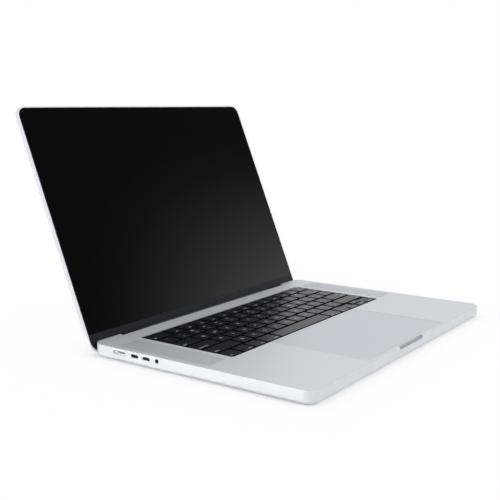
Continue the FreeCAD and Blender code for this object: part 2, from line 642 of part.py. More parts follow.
def vent_slots():
    """The first exhaust slot of each side's row, from the left."""
    reach = f"sizes.vent_first + {VENTS_PER_SIDE - 1} * sizes.vent_pitch + sizes.vent_width"
    low = "places.seam + sizes.case_wall / 2"
    for start in (f"-({reach})", "sizes.vent_first"):
        yield rectangle(start, low, f"{start} + sizes.vent_width", f"{low} + sizes.vent_height")


def make_bottom_cover():
    """Shallow pan that closes the case from below, held by screws in counterbored holes."""
    body = new_body("bottom_cover")
    pad(body, "sizes.foot_height", "places.seam", case_outline())
    dress_level(body, "Fillet", "sizes.foot_height", "Radius", "sizes.cover_edge_radius")
    pocket(body, "places.floor", "places.seam", case_cavity())
    pocket(body, "sizes.foot_height", "places.seam", hinge_bay())
    slant_corners(body)
    pocket(body, "sizes.foot_height", "places.floor",
           *screw_circles("sizes.screw_shank_radius + 2 * sizes.screw_clearance"))
    pocket(body, "sizes.foot_height", "sizes.foot_height + sizes.screw_head_height",
           *screw_circles("sizes.screw_head_radius + 2 * sizes.screw_clearance"))


def make_cover_screws():
    """Screws through the bottom cover into the bosses under the deck."""
    body = new_body("cover_screws")
    pad(body, "sizes.foot_height", "sizes.foot_height + sizes.screw_head_height",
        *screw_circles("sizes.screw_head_radius"))
    pad(body, "sizes.foot_height + sizes.screw_head_height", "places.floor + sizes.screw_reach",
        *screw_circles("sizes.screw_shank_radius"))


def make_feet():
    """Four round rubber feet, narrower at the table."""
    body = new_body("feet")
    spots = [(f"{side} * (places.half_width - sizes.foot_side_inset)", setback) for _, side in SIDES
             for setback in ("sizes.foot_end_inset", "sizes.case_depth - sizes.foot_end_inset")]
    feature = body.newObject("PartDesign::Pad", "pad")
    feature.Profile = drawn(body, "XY_Plane", "sizes.foot_height",
                            [circle(across, along, "sizes.foot_radius") for across, along in spots])
    feature.Reversed = True
    feature.setExpression("Length", "sizes.foot_height")
    feature.setExpression("TaperAngle", "-sizes.foot_draft")


def make_keyboard_web():
    """Black grid round the keycaps, with a flange that bears on the deck from below."""
    body = new_body("keyboard_web")
    pad(body, "places.membrane_top", "places.deck_under", well_outline("sizes.web_flange"))
    pad(body, "places.deck_under", "places.deck - sizes.web_recess", well_outline("-sizes.seat_gap"))
    for row in range(len(KEY_ROWS)):
        holes = [rectangle(*key_outline(row, start + width * index, width, half, "sizes.key_guide_gap"))
                 for _, key_row, start, width, count, half in key_groups() if key_row == row
                 for index in range(count)]
        pocket(body, "places.membrane_top", "places.deck", *holes)


def make_keys():
    """Keycaps: long keys and arrows by themselves, and each row's equal keys as one group."""
    for node, row, start, width, count, half in key_groups():
        body = new_body(node)
        cap = pad(body, "places.key_low", "places.key_top",
                  rounded(*key_outline(row, start, width, half), "sizes.key_corner_radius"))
        if count > 1:
            repeat_along_x(body, cap, "sizes.key_pitch", count)


def make_keyboard_layers():
    """Switch membrane and steel backplate below the keys."""
    membrane = new_body("switch_membrane")
    pad(membrane, "places.backplate_top", "places.membrane_top", well_outline("sizes.web_flange"))
    backplate = new_body("keyboard_backplate")
    pad(backplate, "places.backplate_low", "places.backplate_top", well_outline("sizes.web_flange"))


def make_trackpad():
    """Glass trackpad, the frame that it flexes on and the vibrating unit below."""
    glass = new_body("trackpad_glass")
    pad(glass, "places.trackpad_top - sizes.trackpad_thickness", "places.trackpad_top",
        trackpad_outline("0"))
    frame = new_body("trackpad_frame")
    pad(frame, "places.trackpad_frame_low", "places.deck_under",
        trackpad_outline("sizes.trackpad_gap + sizes.trackpad_frame_seat"))
    for _, side in SIDES:
        window = sorted_sides(side, "sizes.haptic_width / 2 + sizes.trackpad_frame_bar / 2",
                              "sizes.trackpad_setback + sizes.trackpad_frame_bar",
                              "sizes.trackpad_width / 2 - sizes.trackpad_frame_bar",
                              "places.trackpad_rear - sizes.trackpad_frame_bar")
        pocket(frame, "places.trackpad_frame_low", "places.deck_under",
               rounded(*window, "sizes.trackpad_corner_radius"))
    haptic = new_body("haptic_engine")
    middle = "(sizes.trackpad_setback + sizes.trackpad_depth / 2)"
    pad(haptic, "places.trackpad_frame_low - sizes.haptic_height", "places.trackpad_frame_low",
        rounded("-sizes.haptic_width / 2", f"{middle} - sizes.haptic_depth / 2", "sizes.haptic_width / 2",
                f"{middle} + sizes.haptic_depth / 2", "sizes.cell_corner_radius"))


def make_battery():
    """Flat cells: thin ones below the trackpad and two thicker ones on each side of it."""
    body = new_body("battery_cells")
    middle = "(sizes.cell_front_setback + sizes.cell_rear_setback) / 2"
    start = "sizes.cell_inner_width + 1.5 * sizes.cell_gap"
    for _, side in SIDES:
        thin = sorted_sides(side, "sizes.cell_gap / 2", "sizes.cell_front_setback",
                            "sizes.cell_inner_width + sizes.cell_gap / 2", "sizes.cell_rear_setback")
        pad(body, "places.inner_low", "places.inner_low + sizes.thin_cell_height",
            rounded(*thin, "sizes.cell_corner_radius"))
        for low, high in (("sizes.cell_front_setback", f"{middle} - sizes.cell_gap / 2"),
                          (f"{middle} + sizes.cell_gap / 2", "sizes.cell_rear_setback")):
            thick = sorted_sides(side, start, low, f"{start} + sizes.cell_outer_width", high)
            pad(body, "places.inner_low", "places.inner_low + sizes.cell_height",
                rounded(*thick, "sizes.cell_corner_radius"))


def make_speaker(name, side):
    """Speaker box under the deck, with a shallow round cone in its face."""
    body = new_body(f"speaker_{name}")
    outer = "places.inner_side - sizes.speaker_wall_gap"
    box = sorted_sides(side, f"{outer} - sizes.speaker_width", "sizes.speaker_front_setback", outer,
                       "sizes.speaker_rear_setback")
    pad(body, "places.deck_under - sizes.speaker_height", "places.deck_under",
        rounded(*box, "sizes.cell_corner_radius"))
    pocket(body, "places.deck_under - sizes.speaker_cone_depth", "places.deck_under",
           circle(f"{side} * ({outer} - sizes.speaker_width / 2)",
                  "sizes.speaker_rear_setback - sizes.speaker_width / 2", "sizes.speaker_cone_radius"))


def make_logic_board():
    """Circuit board with a bay for each fan and an arm to the sockets on each side."""
    body = new_body("logic_board")
    bay_inner = "sizes.fan_spread - sizes.fan_width / 2 - sizes.fan_bay_gap"
    bay_outer = "sizes.fan_spread + sizes.fan_width / 2 + sizes.fan_bay_gap"
    front_reach = "places.inner_side - sizes.speaker_wall_gap - sizes.speaker_width - sizes.board_side_gap"
    arm_front = "sizes.speaker_rear_setback + sizes.inner_gap"
    reach = "places.inner_side - sizes.board_side_gap"
    front, waist, rear = "sizes.board_front_setback", "sizes.board_waist_setback", "sizes.board_rear_setback"
    half = ((front_reach, front), (front_reach, arm_front), (reach, arm_front), (reach, rear),
            (bay_outer, rear), (bay_outer, waist), (bay_inner, waist), (bay_inner, rear))
    mirrored = tuple((f"-({across})", along) for across, along in reversed(half))
    pad(body, "places.board_low", "places.board_top", polygon(*half, *mirrored))


def make_processor():
    """Processor package on the underside of the logic board."""
    body = new_body("processor_package")
    pad(body, "places.chip_low", "places.board_low",
        rectangle("-sizes.chip_width / 2", "sizes.chip_setback - sizes.chip_width / 2",
                  "sizes.chip_width / 2", "sizes.chip_setback + sizes.chip_width / 2"))


def make_heat_sink():
    """Spreader on the processor, flat heat pipe to both sides, and a stack of fins behind each fan."""
    body = new_body("heat_sink")
    reach = "sizes.fan_spread + sizes.fan_width / 2"
    pipe_front = "places.fin_front + (sizes.fin_depth - sizes.pipe_width) / 2"
    spread_low = "sizes.chip_setback - sizes.spreader_depth / 2"
    spread_high = "sizes.chip_setback + sizes.spreader_depth / 2"
    half = (("sizes.spreader_width / 2", spread_low), ("sizes.spreader_width / 2", spread_high),
            ("sizes.pipe_width", spread_high), ("sizes.pipe_width", pipe_front), (reach, pipe_front),
            (reach, f"{pipe_front} + sizes.pipe_width"))
    mirrored = tuple((f"-({across})", along) for across, along in reversed(half))
    pad(body, "places.inner_low", "places.pipe_top", polygon(*half, *mirrored))
    first = "sizes.fan_spread - sizes.fan_width / 2 + sizes.fin_thickness"
    row = f"{FINS_PER_SIDE - 1} * sizes.fin_pitch + sizes.fin_thickness"
    starts = (first, f"-({first} + {row})")
    fins = pad(body, "places.pipe_top", "places.fan_top", *[
        rectangle(start, "places.fin_front", f"{start} + sizes.fin_thickness",
                  "places.fin_front + sizes.fin_depth") for start in starts])
    repeat_along_x(body, fins, "sizes.fin_pitch", FINS_PER_SIDE)


def make_fan(name, side):
    """Blower: a flat housing, open below and to the rear, and a bladed rotor on its shaft."""
    across, along = f"{side} * sizes.fan_spread", "sizes.fan_setback"
    chamber_low, chamber_high = "places.inner_low + sizes.fan_plate", "places.fan_top - sizes.fan_plate"
    blade_low = f"{chamber_low} + sizes.rotor_gap"
    blade_high = f"{chamber_high} - sizes.rotor_gap"
    post_low = f"{blade_low} + sizes.rotor_hub_wall + sizes.rotor_gap"
    housing = new_body(f"fan_housing_{name}")
    pad(housing, "places.inner_low", "places.fan_top",
        rounded(f"{across} - sizes.fan_width / 2", f"{along} - sizes.fan_depth / 2",
                f"{across} + sizes.fan_width / 2", "places.fan_rear", "sizes.cell_corner_radius"))
    pocket(housing, chamber_low, chamber_high, circle(across, along, "sizes.fan_cavity_radius"))
    pocket(housing, chamber_low, chamber_high,
           rectangle(f"{across} - sizes.rotor_radius", along, f"{across} + sizes.rotor_radius",
                     "places.fan_rear"))
    pocket(housing, "places.inner_low", chamber_low, circle(across, along, "sizes.fan_inlet_radius"))
    pad(housing, post_low, chamber_high, circle(across, along, "sizes.fan_bearing_radius"))
    pocket(housing, post_low, chamber_high,
           circle(across, along, "sizes.fan_shaft_radius + sizes.fan_bearing_gap"))
    rotor = new_body(f"fan_rotor_{name}")
    pad(rotor, blade_low, blade_high, circle(across, along, "sizes.rotor_hub_radius"))
    pocket(rotor, f"{blade_low} + sizes.rotor_hub_wall", blade_high,
           circle(across, along, "sizes.rotor_hub_radius - sizes.rotor_hub_wall"))
    pad(rotor, f"{blade_low} + sizes.rotor_hub_wall / 2", blade_high,
        circle(across, along, "sizes.fan_shaft_radius"))
    add_blades(rotor, across, along, blade_low, blade_high)


def add_blades(rotor, across, along, low, high):
    """Swept blades round the hub: one blade, patterned about the shaft."""
    root = "sizes.rotor_hub_radius - sizes.rotor_hub_wall / 2"
    lean, thick = "sizes.rotor_blade_lean", "sizes.rotor_blade_thickness"
    blade = pad(rotor, low, high, polygon(
        (f"{across} + {root}", f"{along} - {thick} / 2"),
        (f"{across} + sizes.rotor_radius", f"{along} - {lean} - {thick} / 2"),
        (f"{across} + sizes.rotor_radius", f"{along} - {lean} + {thick} / 2"),
        (f"{across} + {root}", f"{along} + {thick} / 2")))
    axis = sketch_on(rotor, "XY_Plane", low)
    axis.setExpression("AttachmentOffset.Base.x", across)
    axis.setExpression("AttachmentOffset.Base.y", along)
    pattern = rotor.newObject("PartDesign::PolarPattern", "ring")
    pattern.Originals = [blade]
    pattern.Axis = (axis, ["N_Axis"])
    pattern.Angle = 360
    pattern.Occurrences = ROTOR_BLADES
    rotor.Tip = pattern


def add_socket(body, side, setback, level, width, height, depth, tongue_width="0", tongue_thickness="0"):
    """A socket: a nose in the case wall, a block on the board behind it, a cavity and its tongue."""
    face, wall, back = "places.socket_mouth", "places.inner_side", f"places.socket_mouth - {depth}"
    pad(body, *along_axis(side, wall, face), mouth(setback, level, width, height, "sizes.seat_gap"),
        plane="YZ_Plane")
    pad(body, *along_axis(side, back, wall),
        rectangle(f"{setback} - {width} / 2 - sizes.port_wall", "places.board_top",
                  f"{setback} + {width} / 2 + sizes.port_wall",
                  f"{level} + {height} / 2 + sizes.port_wall"), plane="YZ_Plane")
    pocket(body, *along_axis(side, f"{back} + sizes.port_back", face),
           mouth(setback, level, width, height, "(sizes.seat_gap + sizes.port_wall)"), plane="YZ_Plane")
    if tongue_width != "0":
        pad(body, *along_axis(side, f"{back} + sizes.port_back", f"{face} - sizes.port_back"),
            rectangle(f"{setback} - {tongue_width} / 2", f"{level} - {tongue_thickness} / 2",
                      f"{setback} + {tongue_width} / 2", f"{level} + {tongue_thickness} / 2"),
            plane="YZ_Plane")


def make_sockets():
    """Sockets in the case's sides, each standing on the logic board."""
    tongue = ("sizes.data_tongue_width", "sizes.data_tongue_thickness")
    left_data = new_body("left_data_sockets")
    for place in LEFT_MOUTHS[1:]:
        add_socket(left_data, "-1", *place, "sizes.data_depth", *tongue)
    add_socket(new_body("right_data_socket"), "1", *RIGHT_MOUTHS[1], "sizes.data_depth", *tongue)
    add_socket(new_body("video_socket"), "1", *RIGHT_MOUTHS[0], "sizes.video_depth",
               "sizes.video_tongue_width", "sizes.video_tongue_thickness")
    add_socket(new_body("card_slot"), "1", *RIGHT_MOUTHS[2], "sizes.card_depth")


def make_charging_socket():
    """Shallow rounded recess with a row of round contacts on its floor."""
    body = new_body("charging_socket")
    setback, level, width, height = LEFT_MOUTHS[0]
    back = "-places.socket_mouth + sizes.charging_depth"
    recess = "-places.socket_mouth + sizes.charging_recess"
    pad(body, "-places.socket_mouth", "-places.inner_side",
        mouth(setback, level, width, height, "sizes.seat_gap"), plane="YZ_Plane")
    pad(body, "-places.inner_side", back,
        rectangle(f"{setback} - {width} / 2", "places.board_top", f"{setback} + {width} / 2",
                  f"{level} + {height} / 2"), plane="YZ_Plane")
    pocket(body, "-places.socket_mouth", recess,
           mouth(setback, level, width, height, "(sizes.seat_gap + sizes.port_wall)"), plane="YZ_Plane")
    row = [circle(f"{setback} + {index - CHARGING_CONTACTS // 2} * sizes.contact_pitch", level,
                  "sizes.contact_radius") for index in range(CHARGING_CONTACTS)]
    pad(body, f"{recess} - sizes.contact_height", recess, *row, plane="YZ_Plane")


def make_audio_socket():
    """Round audio socket: a sleeve in the case wall, a block on the board and one straight bore."""
    body = new_body("audio_socket")
    setback, level = "sizes.audio_setback", "places.port_level"
    reach = "(sizes.audio_nose_radius + sizes.port_wall / 2)"
    mouth_face = "-places.socket_mouth"
    pad(body, mouth_face, "-places.inner_side",
        circle(setback, level, "sizes.audio_nose_radius - sizes.screw_clearance"), plane="YZ_Plane")
    pad(body, "-places.inner_side", f"{mouth_face} + sizes.audio_depth",
        rectangle(f"{setback} - {reach}", "places.board_top", f"{setback} + {reach}", f"{level} + {reach}"),
        plane="YZ_Plane")
    pocket(body, mouth_face, f"{mouth_face} + sizes.audio_bore_length",
           circle(setback, level, "sizes.audio_bore_radius"), plane="YZ_Plane")


def make_hinge_bracket(name, side):
    """Steel bracket under the deck, with an arm through the rear wall and a knuckle on the axis."""
    body = new_body(f"hinge_bracket_{name}")
    plate_rear = "places.inner_rear - sizes.inner_gap"
    plate = sorted_sides(side, "sizes.hinge_spread", f"{plate_rear} - sizes.bracket_depth",
                         "sizes.hinge_spread + sizes.bracket_length", plate_rear)
    pad(body, "places.deck_under - sizes.bracket_thickness", "places.deck_under", rectangle(*plate))
    arm = sorted_sides(side, "sizes.hinge_spread", f"{plate_rear} - sizes.bracket_depth",
                       "places.knuckle_split", "sizes.hinge_setback")
    pad(body, "places.hinge_level - sizes.arm_thickness / 2", "places.hinge_level + sizes.arm_thickness / 2",
        rectangle(*arm))
    span = along_axis(side, "sizes.hinge_spread", "places.knuckle_split")
    pad(body, *span, circle("sizes.hinge_setback", "places.hinge_level", "sizes.knuckle_radius"),
        plane="YZ_Plane")
    pocket(body, *span, circle("sizes.hinge_setback", "places.hinge_level",
                               "sizes.pin_radius + sizes.pin_clearance"), plane="YZ_Plane")


def make_hinge_leaf(name, side):
    """Steel leaf on the lid's floor, with a neck forward to its own knuckle."""
    body = new_body(f"hinge_leaf_{name}", in_lid=True)
    plate = sorted_sides(side, "sizes.hinge_spread", "-sizes.leaf_neck / 2",
                         "sizes.hinge_spread + sizes.leaf_length", "sizes.leaf_height")
    pad(body, "places.lid_inside", "places.lid_inside + sizes.leaf_thickness", rectangle(*plate))
    neck = sorted_sides(side, "places.leaf_start", "-sizes.leaf_neck / 2", "places.leaf_end",
                        "sizes.leaf_neck / 2")
    pad(body, "places.lid_inside", "-sizes.pin_radius - sizes.pin_clearance", rectangle(*neck))
    span = along_axis(side, "places.leaf_start", "places.leaf_end")
    pad(body, *span, circle("0", "0", "sizes.knuckle_radius"), plane="YZ_Plane")
    pocket(body, *span, circle("0", "0", "sizes.pin_radius + sizes.pin_clearance"), plane="YZ_Plane")


def make_hinge_pins():
    """A steel pin through the two knuckles of each hinge."""
    body = new_body("hinge_pins", in_lid=True)
    for _, side in SIDES:
        pad(body, *along_axis(side, "sizes.hinge_spread", "places.leaf_end"),
            circle("0", "0", "sizes.pin_radius"), plane="YZ_Plane")


def lid_outline(inset, corner):
    """The lid's outline, seen from the front, made smaller by an inset."""
    return rounded(f"-places.half_width + {inset}", f"places.lid_bottom + {inset}",
                   f"places.half_width - ({inset})", f"places.lid_top - ({inset})", corner)


def make_lid_shell():
    """Metal tray: a thin rear plate with rounded edges, a rim, a step for the glass and a slanted foot."""
    body = new_body("lid_shell", in_lid=True)
    pad(body, "places.lid_back", "places.glass_face", lid_outline("0", "sizes.case_corner_radius"))
    dress_level(body, "Fillet", "places.lid_back", "Radius", "sizes.lid_edge_radius")
    below, behind = "places.lid_bottom - sizes.rim_width", "places.lid_back - sizes.rim_width"
    pocket(body, "-places.half_width", "places.half_width",
           polygon((below, behind), ("places.lid_bottom + sizes.lid_foot_slant", behind),
                   ("places.lid_bottom + sizes.lid_foot_slant", "places.lid_back"),
                   ("places.lid_bottom", "places.lid_back + sizes.lid_foot_slant"),
                   (below, "places.lid_back + sizes.lid_foot_slant")), plane="YZ_Plane")
    pocket(body, "places.glass_back", "places.glass_face",
           lid_outline("sizes.rim_width", "sizes.case_corner_radius - sizes.rim_width"))
    pocket(body, "places.lid_inside", "places.glass_back",
           lid_outline("places.pocket_inset", "sizes.case_corner_radius - places.pocket_inset"))


def make_display():
    """Display panel on the lid's floor and the cover glass in front of it, flush with the rim."""
    panel = new_body("display_panel", in_lid=True)
    side = "places.half_width - places.pocket_inset - sizes.panel_gap"
    top = "places.lid_top - places.pocket_inset - sizes.panel_gap - sizes.camera_bay"
    pad(panel, "places.glass_back - sizes.panel_thickness", "places.glass_back",
        rectangle(f"-({side})", "sizes.panel_foot", side, top))
    glass = new_body("display_glass", in_lid=True)
    inset = "(sizes.rim_width + sizes.seat_gap)"
    pad(glass, "places.glass_back", "places.glass_face",
        lid_outline(inset, f"sizes.case_corner_radius - {inset}"))
    pocket(glass, "places.glass_back", "places.glass_face",
           rectangle("-places.half_width", "places.lid_bottom", "places.half_width",
                     "sizes.strip_height + sizes.seat_gap"))


def make_gasket():
    """Soft ring on the edge of the display glass, which the closed lid rests on."""
    body = new_body("display_gasket", in_lid=True)
    outer, inner = "(sizes.rim_width + sizes.seat_gap)", "(sizes.rim_width + sizes.gasket_width)"
    pad(body, "places.glass_face", "places.glass_face + sizes.gasket_height",
        lid_outline(outer, f"sizes.case_corner_radius - {outer}"),
        lid_outline(inner, f"sizes.case_corner_radius - {inner}"))


def make_camera():
    """Camera board behind the glass, above the display panel, with its round lens."""
    body = new_body("camera_module", in_lid=True)
    middle = "places.lid_top - places.pocket_inset - sizes.camera_bay / 2"
    lens_low = "places.glass_back - sizes.panel_thickness / 2"
    pad(body, f"{lens_low} - sizes.camera_thickness", lens_low,
        rectangle("-sizes.camera_width / 2", f"{middle} - sizes.camera_height / 2", "sizes.camera_width / 2",
                  f"{middle} + sizes.camera_height / 2"))
    pad(body, lens_low, "places.glass_back", circle("0", middle, "sizes.camera_lens_radius"))


def make_hinge_cover():
    """Black strip across the lid's foot, flush with the glass, with a barrel between the hinges."""
    body = new_body("hinge_cover", in_lid=True)
    inset = "(sizes.rim_width + sizes.seat_gap)"
    pad(body, "places.glass_back", "places.glass_face",
        lid_outline(inset, f"sizes.case_corner_radius - {inset}"))
    pocket(body, "places.glass_back", "places.glass_face",
           rectangle("-places.half_width", "sizes.strip_height", "places.half_width", "places.lid_top"))
    for _, side in SIDES:
        slot = sorted_sides(side, "places.leaf_start - sizes.arm_gap",
                            "-sizes.leaf_neck / 2 - sizes.arm_gap", "places.leaf_end + sizes.arm_gap",
                            "sizes.leaf_neck / 2 + sizes.arm_gap")
        pocket(body, "places.glass_back", "places.glass_face", rectangle(*slot))
    barrel_half = "(sizes.hinge_spread - sizes.knuckle_gap)"
    pad(body, "places.glass_face", "0",
        rectangle(f"-{barrel_half}", "-sizes.neck_width / 2", barrel_half, "sizes.neck_width / 2"))
    pad(body, f"-{barrel_half}", barrel_half, circle("0", "0", "sizes.knuckle_radius"), plane="YZ_Plane")


def check_document():
    """Stops if anything failed to build, if a cut removed nothing, or if a sub-part is unsound."""
    failed = [thing.Name for thing in doc.Objects if "Invalid" in thing.State or "Error" in thing.State]
    if failed:
        raise RuntimeError(f"failed to build: {failed}")
    for thing in doc.Objects:
        if thing.TypeId == "PartDesign::Pocket":
            if thing.Shape.Volume > thing.BaseFeature.Shape.Volume - 1e-6:
                raise RuntimeError(f"cut nothing: {thing.getParentGeoFeatureGroup().Label} {thing.Name}")
    for body in sub_parts:
        if body.Shape.isNull() or not body.Shape.isValid() or not body.Shape.Solids:
            raise RuntimeError(f"unsound shape: {body.Label}")


make_upper_case()
make_bottom_cover()
make_cover_screws()
make_feet()
make_keyboard_web()
make_keys()
make_keyboard_layers()
make_trackpad()
make_battery()
make_logic_board()
make_processor()
make_heat_sink()
for side_name, side_sign in SIDES:
    make_speaker(side_name, side_sign)
    make_fan(side_name, side_sign)
    make_hinge_bracket(side_name, side_sign)
    make_hinge_leaf(side_name, side_sign)
make_sockets()
make_charging_socket()
make_audio_socket()
make_hinge_pins()
make_lid_shell()
make_display()
make_gasket()
make_camera()
make_hinge_cover()
doc.recompute()
check_document()

os.makedirs("parts", exist_ok=True)
for body in sub_parts:
    body.Shape.exportStep(f"parts/{body.Label}.step")
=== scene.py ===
"""The looks of an open laptop computer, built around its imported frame.

Metres, with +X to the user's right, +Y away from the user and +Z up. The feet stand on Z = 0.
"""
import math

import bmesh
import bpy
from mathutils import Euler, Matrix, Vector


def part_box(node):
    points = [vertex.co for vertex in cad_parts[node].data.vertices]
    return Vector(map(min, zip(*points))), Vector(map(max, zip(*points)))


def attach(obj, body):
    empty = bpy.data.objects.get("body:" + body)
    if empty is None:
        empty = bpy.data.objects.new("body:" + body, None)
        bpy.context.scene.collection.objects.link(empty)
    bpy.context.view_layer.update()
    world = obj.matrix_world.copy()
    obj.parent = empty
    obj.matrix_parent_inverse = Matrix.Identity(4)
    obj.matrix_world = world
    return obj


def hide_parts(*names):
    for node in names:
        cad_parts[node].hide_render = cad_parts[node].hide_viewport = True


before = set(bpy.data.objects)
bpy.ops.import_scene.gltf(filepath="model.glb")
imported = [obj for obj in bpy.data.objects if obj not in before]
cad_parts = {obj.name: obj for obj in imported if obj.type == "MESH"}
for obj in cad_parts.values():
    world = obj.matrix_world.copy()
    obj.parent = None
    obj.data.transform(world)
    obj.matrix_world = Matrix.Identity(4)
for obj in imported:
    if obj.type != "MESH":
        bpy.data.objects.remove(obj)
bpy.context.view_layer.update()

# Upper case: the deck and side walls, milled from one block of aluminium, bead blasted and then
# anodised in natural silver. Keyboard, trackpad, sockets and speakers are fitted from below.
MM = 0.001
WELD = 0.001 * MM
SLACK = 0.1 * MM
FACING = 0.5
FLAT_ANGLE = math.radians(0.3)
SMOOTH_ANGLE = math.radians(40)
CASE_EDGE = 0.25 * MM
NOISE_LOW, NOISE_HIGH = 0.25, 0.75


def linear(code):
    """An sRGB hex colour as linear red, green, blue and alpha."""
    shares = [int(code[index:index + 2], 16) / 255 for index in (1, 3, 5)]
    lights = [share / 12.92 if share <= 0.04045 else ((share + 0.055) / 1.055) ** 2.4 for share in shares]
    return (*lights, 1.0)


def add(tree, kind, inputs=None, **settings):
    """A node with its settings; an input is a number, a colour or another node's output."""
    made = tree.nodes.new(kind)
    for name, value in settings.items():
        setattr(made, name, value)
    for name, value in (inputs or {}).items():
        if isinstance(value, bpy.types.NodeSocket):
            tree.links.new(value, made.inputs[name])
        else:
            made.inputs[name].default_value = value
    return made


def grained(name, grain, colours, roughness, relief, stretch=(1, 1, 1), sockets=None):
    """A finish whose colour, gloss and relief vary with one grain; grain and relief in millimetres."""
    material = bpy.data.materials.new(name)
    material.use_nodes = True
    tree = material.node_tree
    shader = tree.nodes["Principled BSDF"]
    for socket, value in (sockets or {}).items():
        shader.inputs[socket].default_value = value
    place = add(tree, "ShaderNodeTexCoord")
    spread = add(tree, "ShaderNodeMapping", {"Vector": place.outputs["Object"], "Scale": stretch})
    noise = add(tree, "ShaderNodeTexNoise", {"Vector": spread.outputs[0], "Scale": 1 / (grain * MM)})
    level = noise.outputs[0]
    colour = add(tree, "ShaderNodeMix", {0: level, 6: linear(colours[0]), 7: linear(colours[1])},
                 data_type="RGBA")
    gloss = add(tree, "ShaderNodeMapRange", {"Value": level, "From Min": NOISE_LOW, "From Max": NOISE_HIGH,
                                             "To Min": roughness[0], "To Max": roughness[1]})
    bump = add(tree, "ShaderNodeBump", {"Height": level, "Distance": relief * MM, "Strength": 1.0})
    tree.links.new(colour.outputs[2], shader.inputs["Base Color"])
    tree.links.new(gloss.outputs[0], shader.inputs["Roughness"])
    tree.links.new(bump.outputs[0], shader.inputs["Normal"])
    return material


def new_piece(name, mesh, material):
    """An object at the origin with its place in its mesh."""
    piece = bpy.data.objects.new(name, mesh)
    bpy.context.collection.objects.link(piece)
    if mesh.materials:
        mesh.materials.clear()
    mesh.materials.append(material)
    return piece


def merged_copy(node):
    """A copy of a frame node's mesh with its corners joined and its flat faces made whole."""
    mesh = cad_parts[node].data.copy()
    form = bmesh.new()
    form.from_mesh(mesh)
    bmesh.ops.remove_doubles(form, verts=form.verts, dist=WELD)
    bmesh.ops.dissolve_limit(form, angle_limit=FLAT_ANGLE, verts=form.verts, edges=form.edges)
    form.to_mesh(mesh)
    form.free()
    return mesh


def blocks(name, spans):
    """A mesh of plain blocks, each from a low corner to a high one."""
    mesh = bpy.data.meshes.new(name)
    form = bmesh.new()
    for low, high in spans:
        size = Matrix.Diagonal((*(Vector(high) - Vector(low)), 1))
        spot = Matrix.Translation((Vector(low) + Vector(high)) / 2)
        bmesh.ops.create_cube(form, size=1, matrix=spot @ size)
    form.to_mesh(mesh)
    form.free()
    return mesh


def round_edges(piece, edge, segments=2):
    """Rounds a piece's sharp edges."""
    bevel = piece.modifiers.new("edges", "BEVEL")
    bevel.width = edge
    bevel.segments = segments
    bevel.limit_method = "ANGLE"
    bevel.angle_limit = SMOOTH_ANGLE
    bevel.use_clamp_overlap = True


def soften(piece, edge=0, segments=2):
    """Rounds a piece's sharp edges, where asked, and keeps its broad faces flat to the eye."""
    piece.data.shade_smooth()
    if edge:
        round_edges(piece, edge, segments)
    else:
        piece.data.set_sharp_from_angle(angle=SMOOTH_ANGLE)
    normals = piece.modifiers.new("flats", "WEIGHTED_NORMAL")
    normals.keep_sharp = True


def plain_mesh(piece):
    """A piece's mesh with its modifiers worked in."""
    graph = bpy.context.evaluated_depsgraph_get()
    mesh = bpy.data.meshes.new_from_object(piece.evaluated_get(graph))
    piece.modifiers.clear()
    return mesh


def settle(piece, body, slot, *nodes):
    """Fixes a piece to its body, in place of the frame's plain nodes."""
    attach(piece, body)
    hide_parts(*nodes)


# Anodised aluminium, bead blasted: a satin metal with a very fine, even grit. The grit is about
# 0.1 mm across, and is drawn at 0.5 mm so that it shows.
aluminium = grained("anodised_aluminium", 0.5, ("#cdd0d6", "#d6d9de"), (0.46, 0.54), 0.0015,
                    sockets={"Metallic": 0.45})

case_low, case_high = [Vector(corner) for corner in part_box("upper_case")]
DECK = case_high.z
DECK_THICKNESS = 1.6 * MM
GRILLE_PITCH = 1.25 * MM
GRILLE_COLUMNS, GRILLE_ROWS = 21, 85
GRILLE_WIDTH, GRILLE_LENGTH = GRILLE_COLUMNS * GRILLE_PITCH, GRILLE_ROWS * GRILLE_PITCH
GRILLE_MIDDLE = (158.4 * MM, case_low.y + 160.7 * MM)
WINDOW_REACH = Vector((GRILLE_WIDTH / 2, GRILLE_LENGTH / 2, 1.5 * DECK_THICKNESS))

# Milled aluminium, left unblasted in the thumb notch: smoother than the deck, and darker with painted shade
# for the notch's hollow.
milled_with_painted_shade = grained("milled_aluminium_painted_shade", 0.3, ("#a9acb5", "#b2b5be"), (0.4, 0.48), 0.002,
                 stretch=(0.2, 1, 1), sockets={"Metallic": 0.6})
NOTCH_HALF, NOTCH_DEPTH, NOTCH_DROP = 25.0 * MM, 2.0 * MM, 3.4 * MM

upper_case = new_piece("deck_and_walls", merged_copy("upper_case"), aluminium)
upper_case.data.materials.append(milled_with_painted_shade)
# The notch's back wall takes the darker milled metal, whose darkness is painted shade.
for face in upper_case.data.polygons:
    across, along, height = face.center
    framed = abs(across) < NOTCH_HALF + SLACK and DECK - NOTCH_DROP - SLACK < height < DECK - SLACK
    if framed and face.normal.y < -FACING and abs(along - case_low.y - NOTCH_DEPTH) < SLACK:
        face.material_index = 1
round_edges(upper_case, CASE_EDGE)
grille_middles = [Vector((side * GRILLE_MIDDLE[0], GRILLE_MIDDLE[1], DECK)) for side in (-1, 1)]
openings = blocks("grille_windows", [(spot - WINDOW_REACH, spot + WINDOW_REACH) for spot in grille_middles])
windows = new_piece("grille_windows", openings, aluminium)
cut = upper_case.modifiers.new("windows", "BOOLEAN")
cut.operation = "DIFFERENCE"
cut.solver = "EXACT"
cut.object = windows
upper_case.data = plain_mesh(upper_case)
bpy.data.objects.remove(windows)
soften(upper_case)
settle(upper_case, "base", "case_metal", "upper_case")

# Speaker grilles: two fields of fine round holes, drilled through the deck beside the keyboard.
# They are part of the same anodised block, so their metal runs on without a seam.
GRILLE_HOLE = 0.3 * MM
HOLE_SIDES = 8
CELL_WELD = 0.02 * MM
# Painted shade in the holes: a black, dull finish with a fine grain, given to the holes' upright walls.
hole_painted_shade = grained("hole_walls_painted_shade", 0.1, ("#0b0b0c", "#141416"), (0.7, 0.9), 0.01)


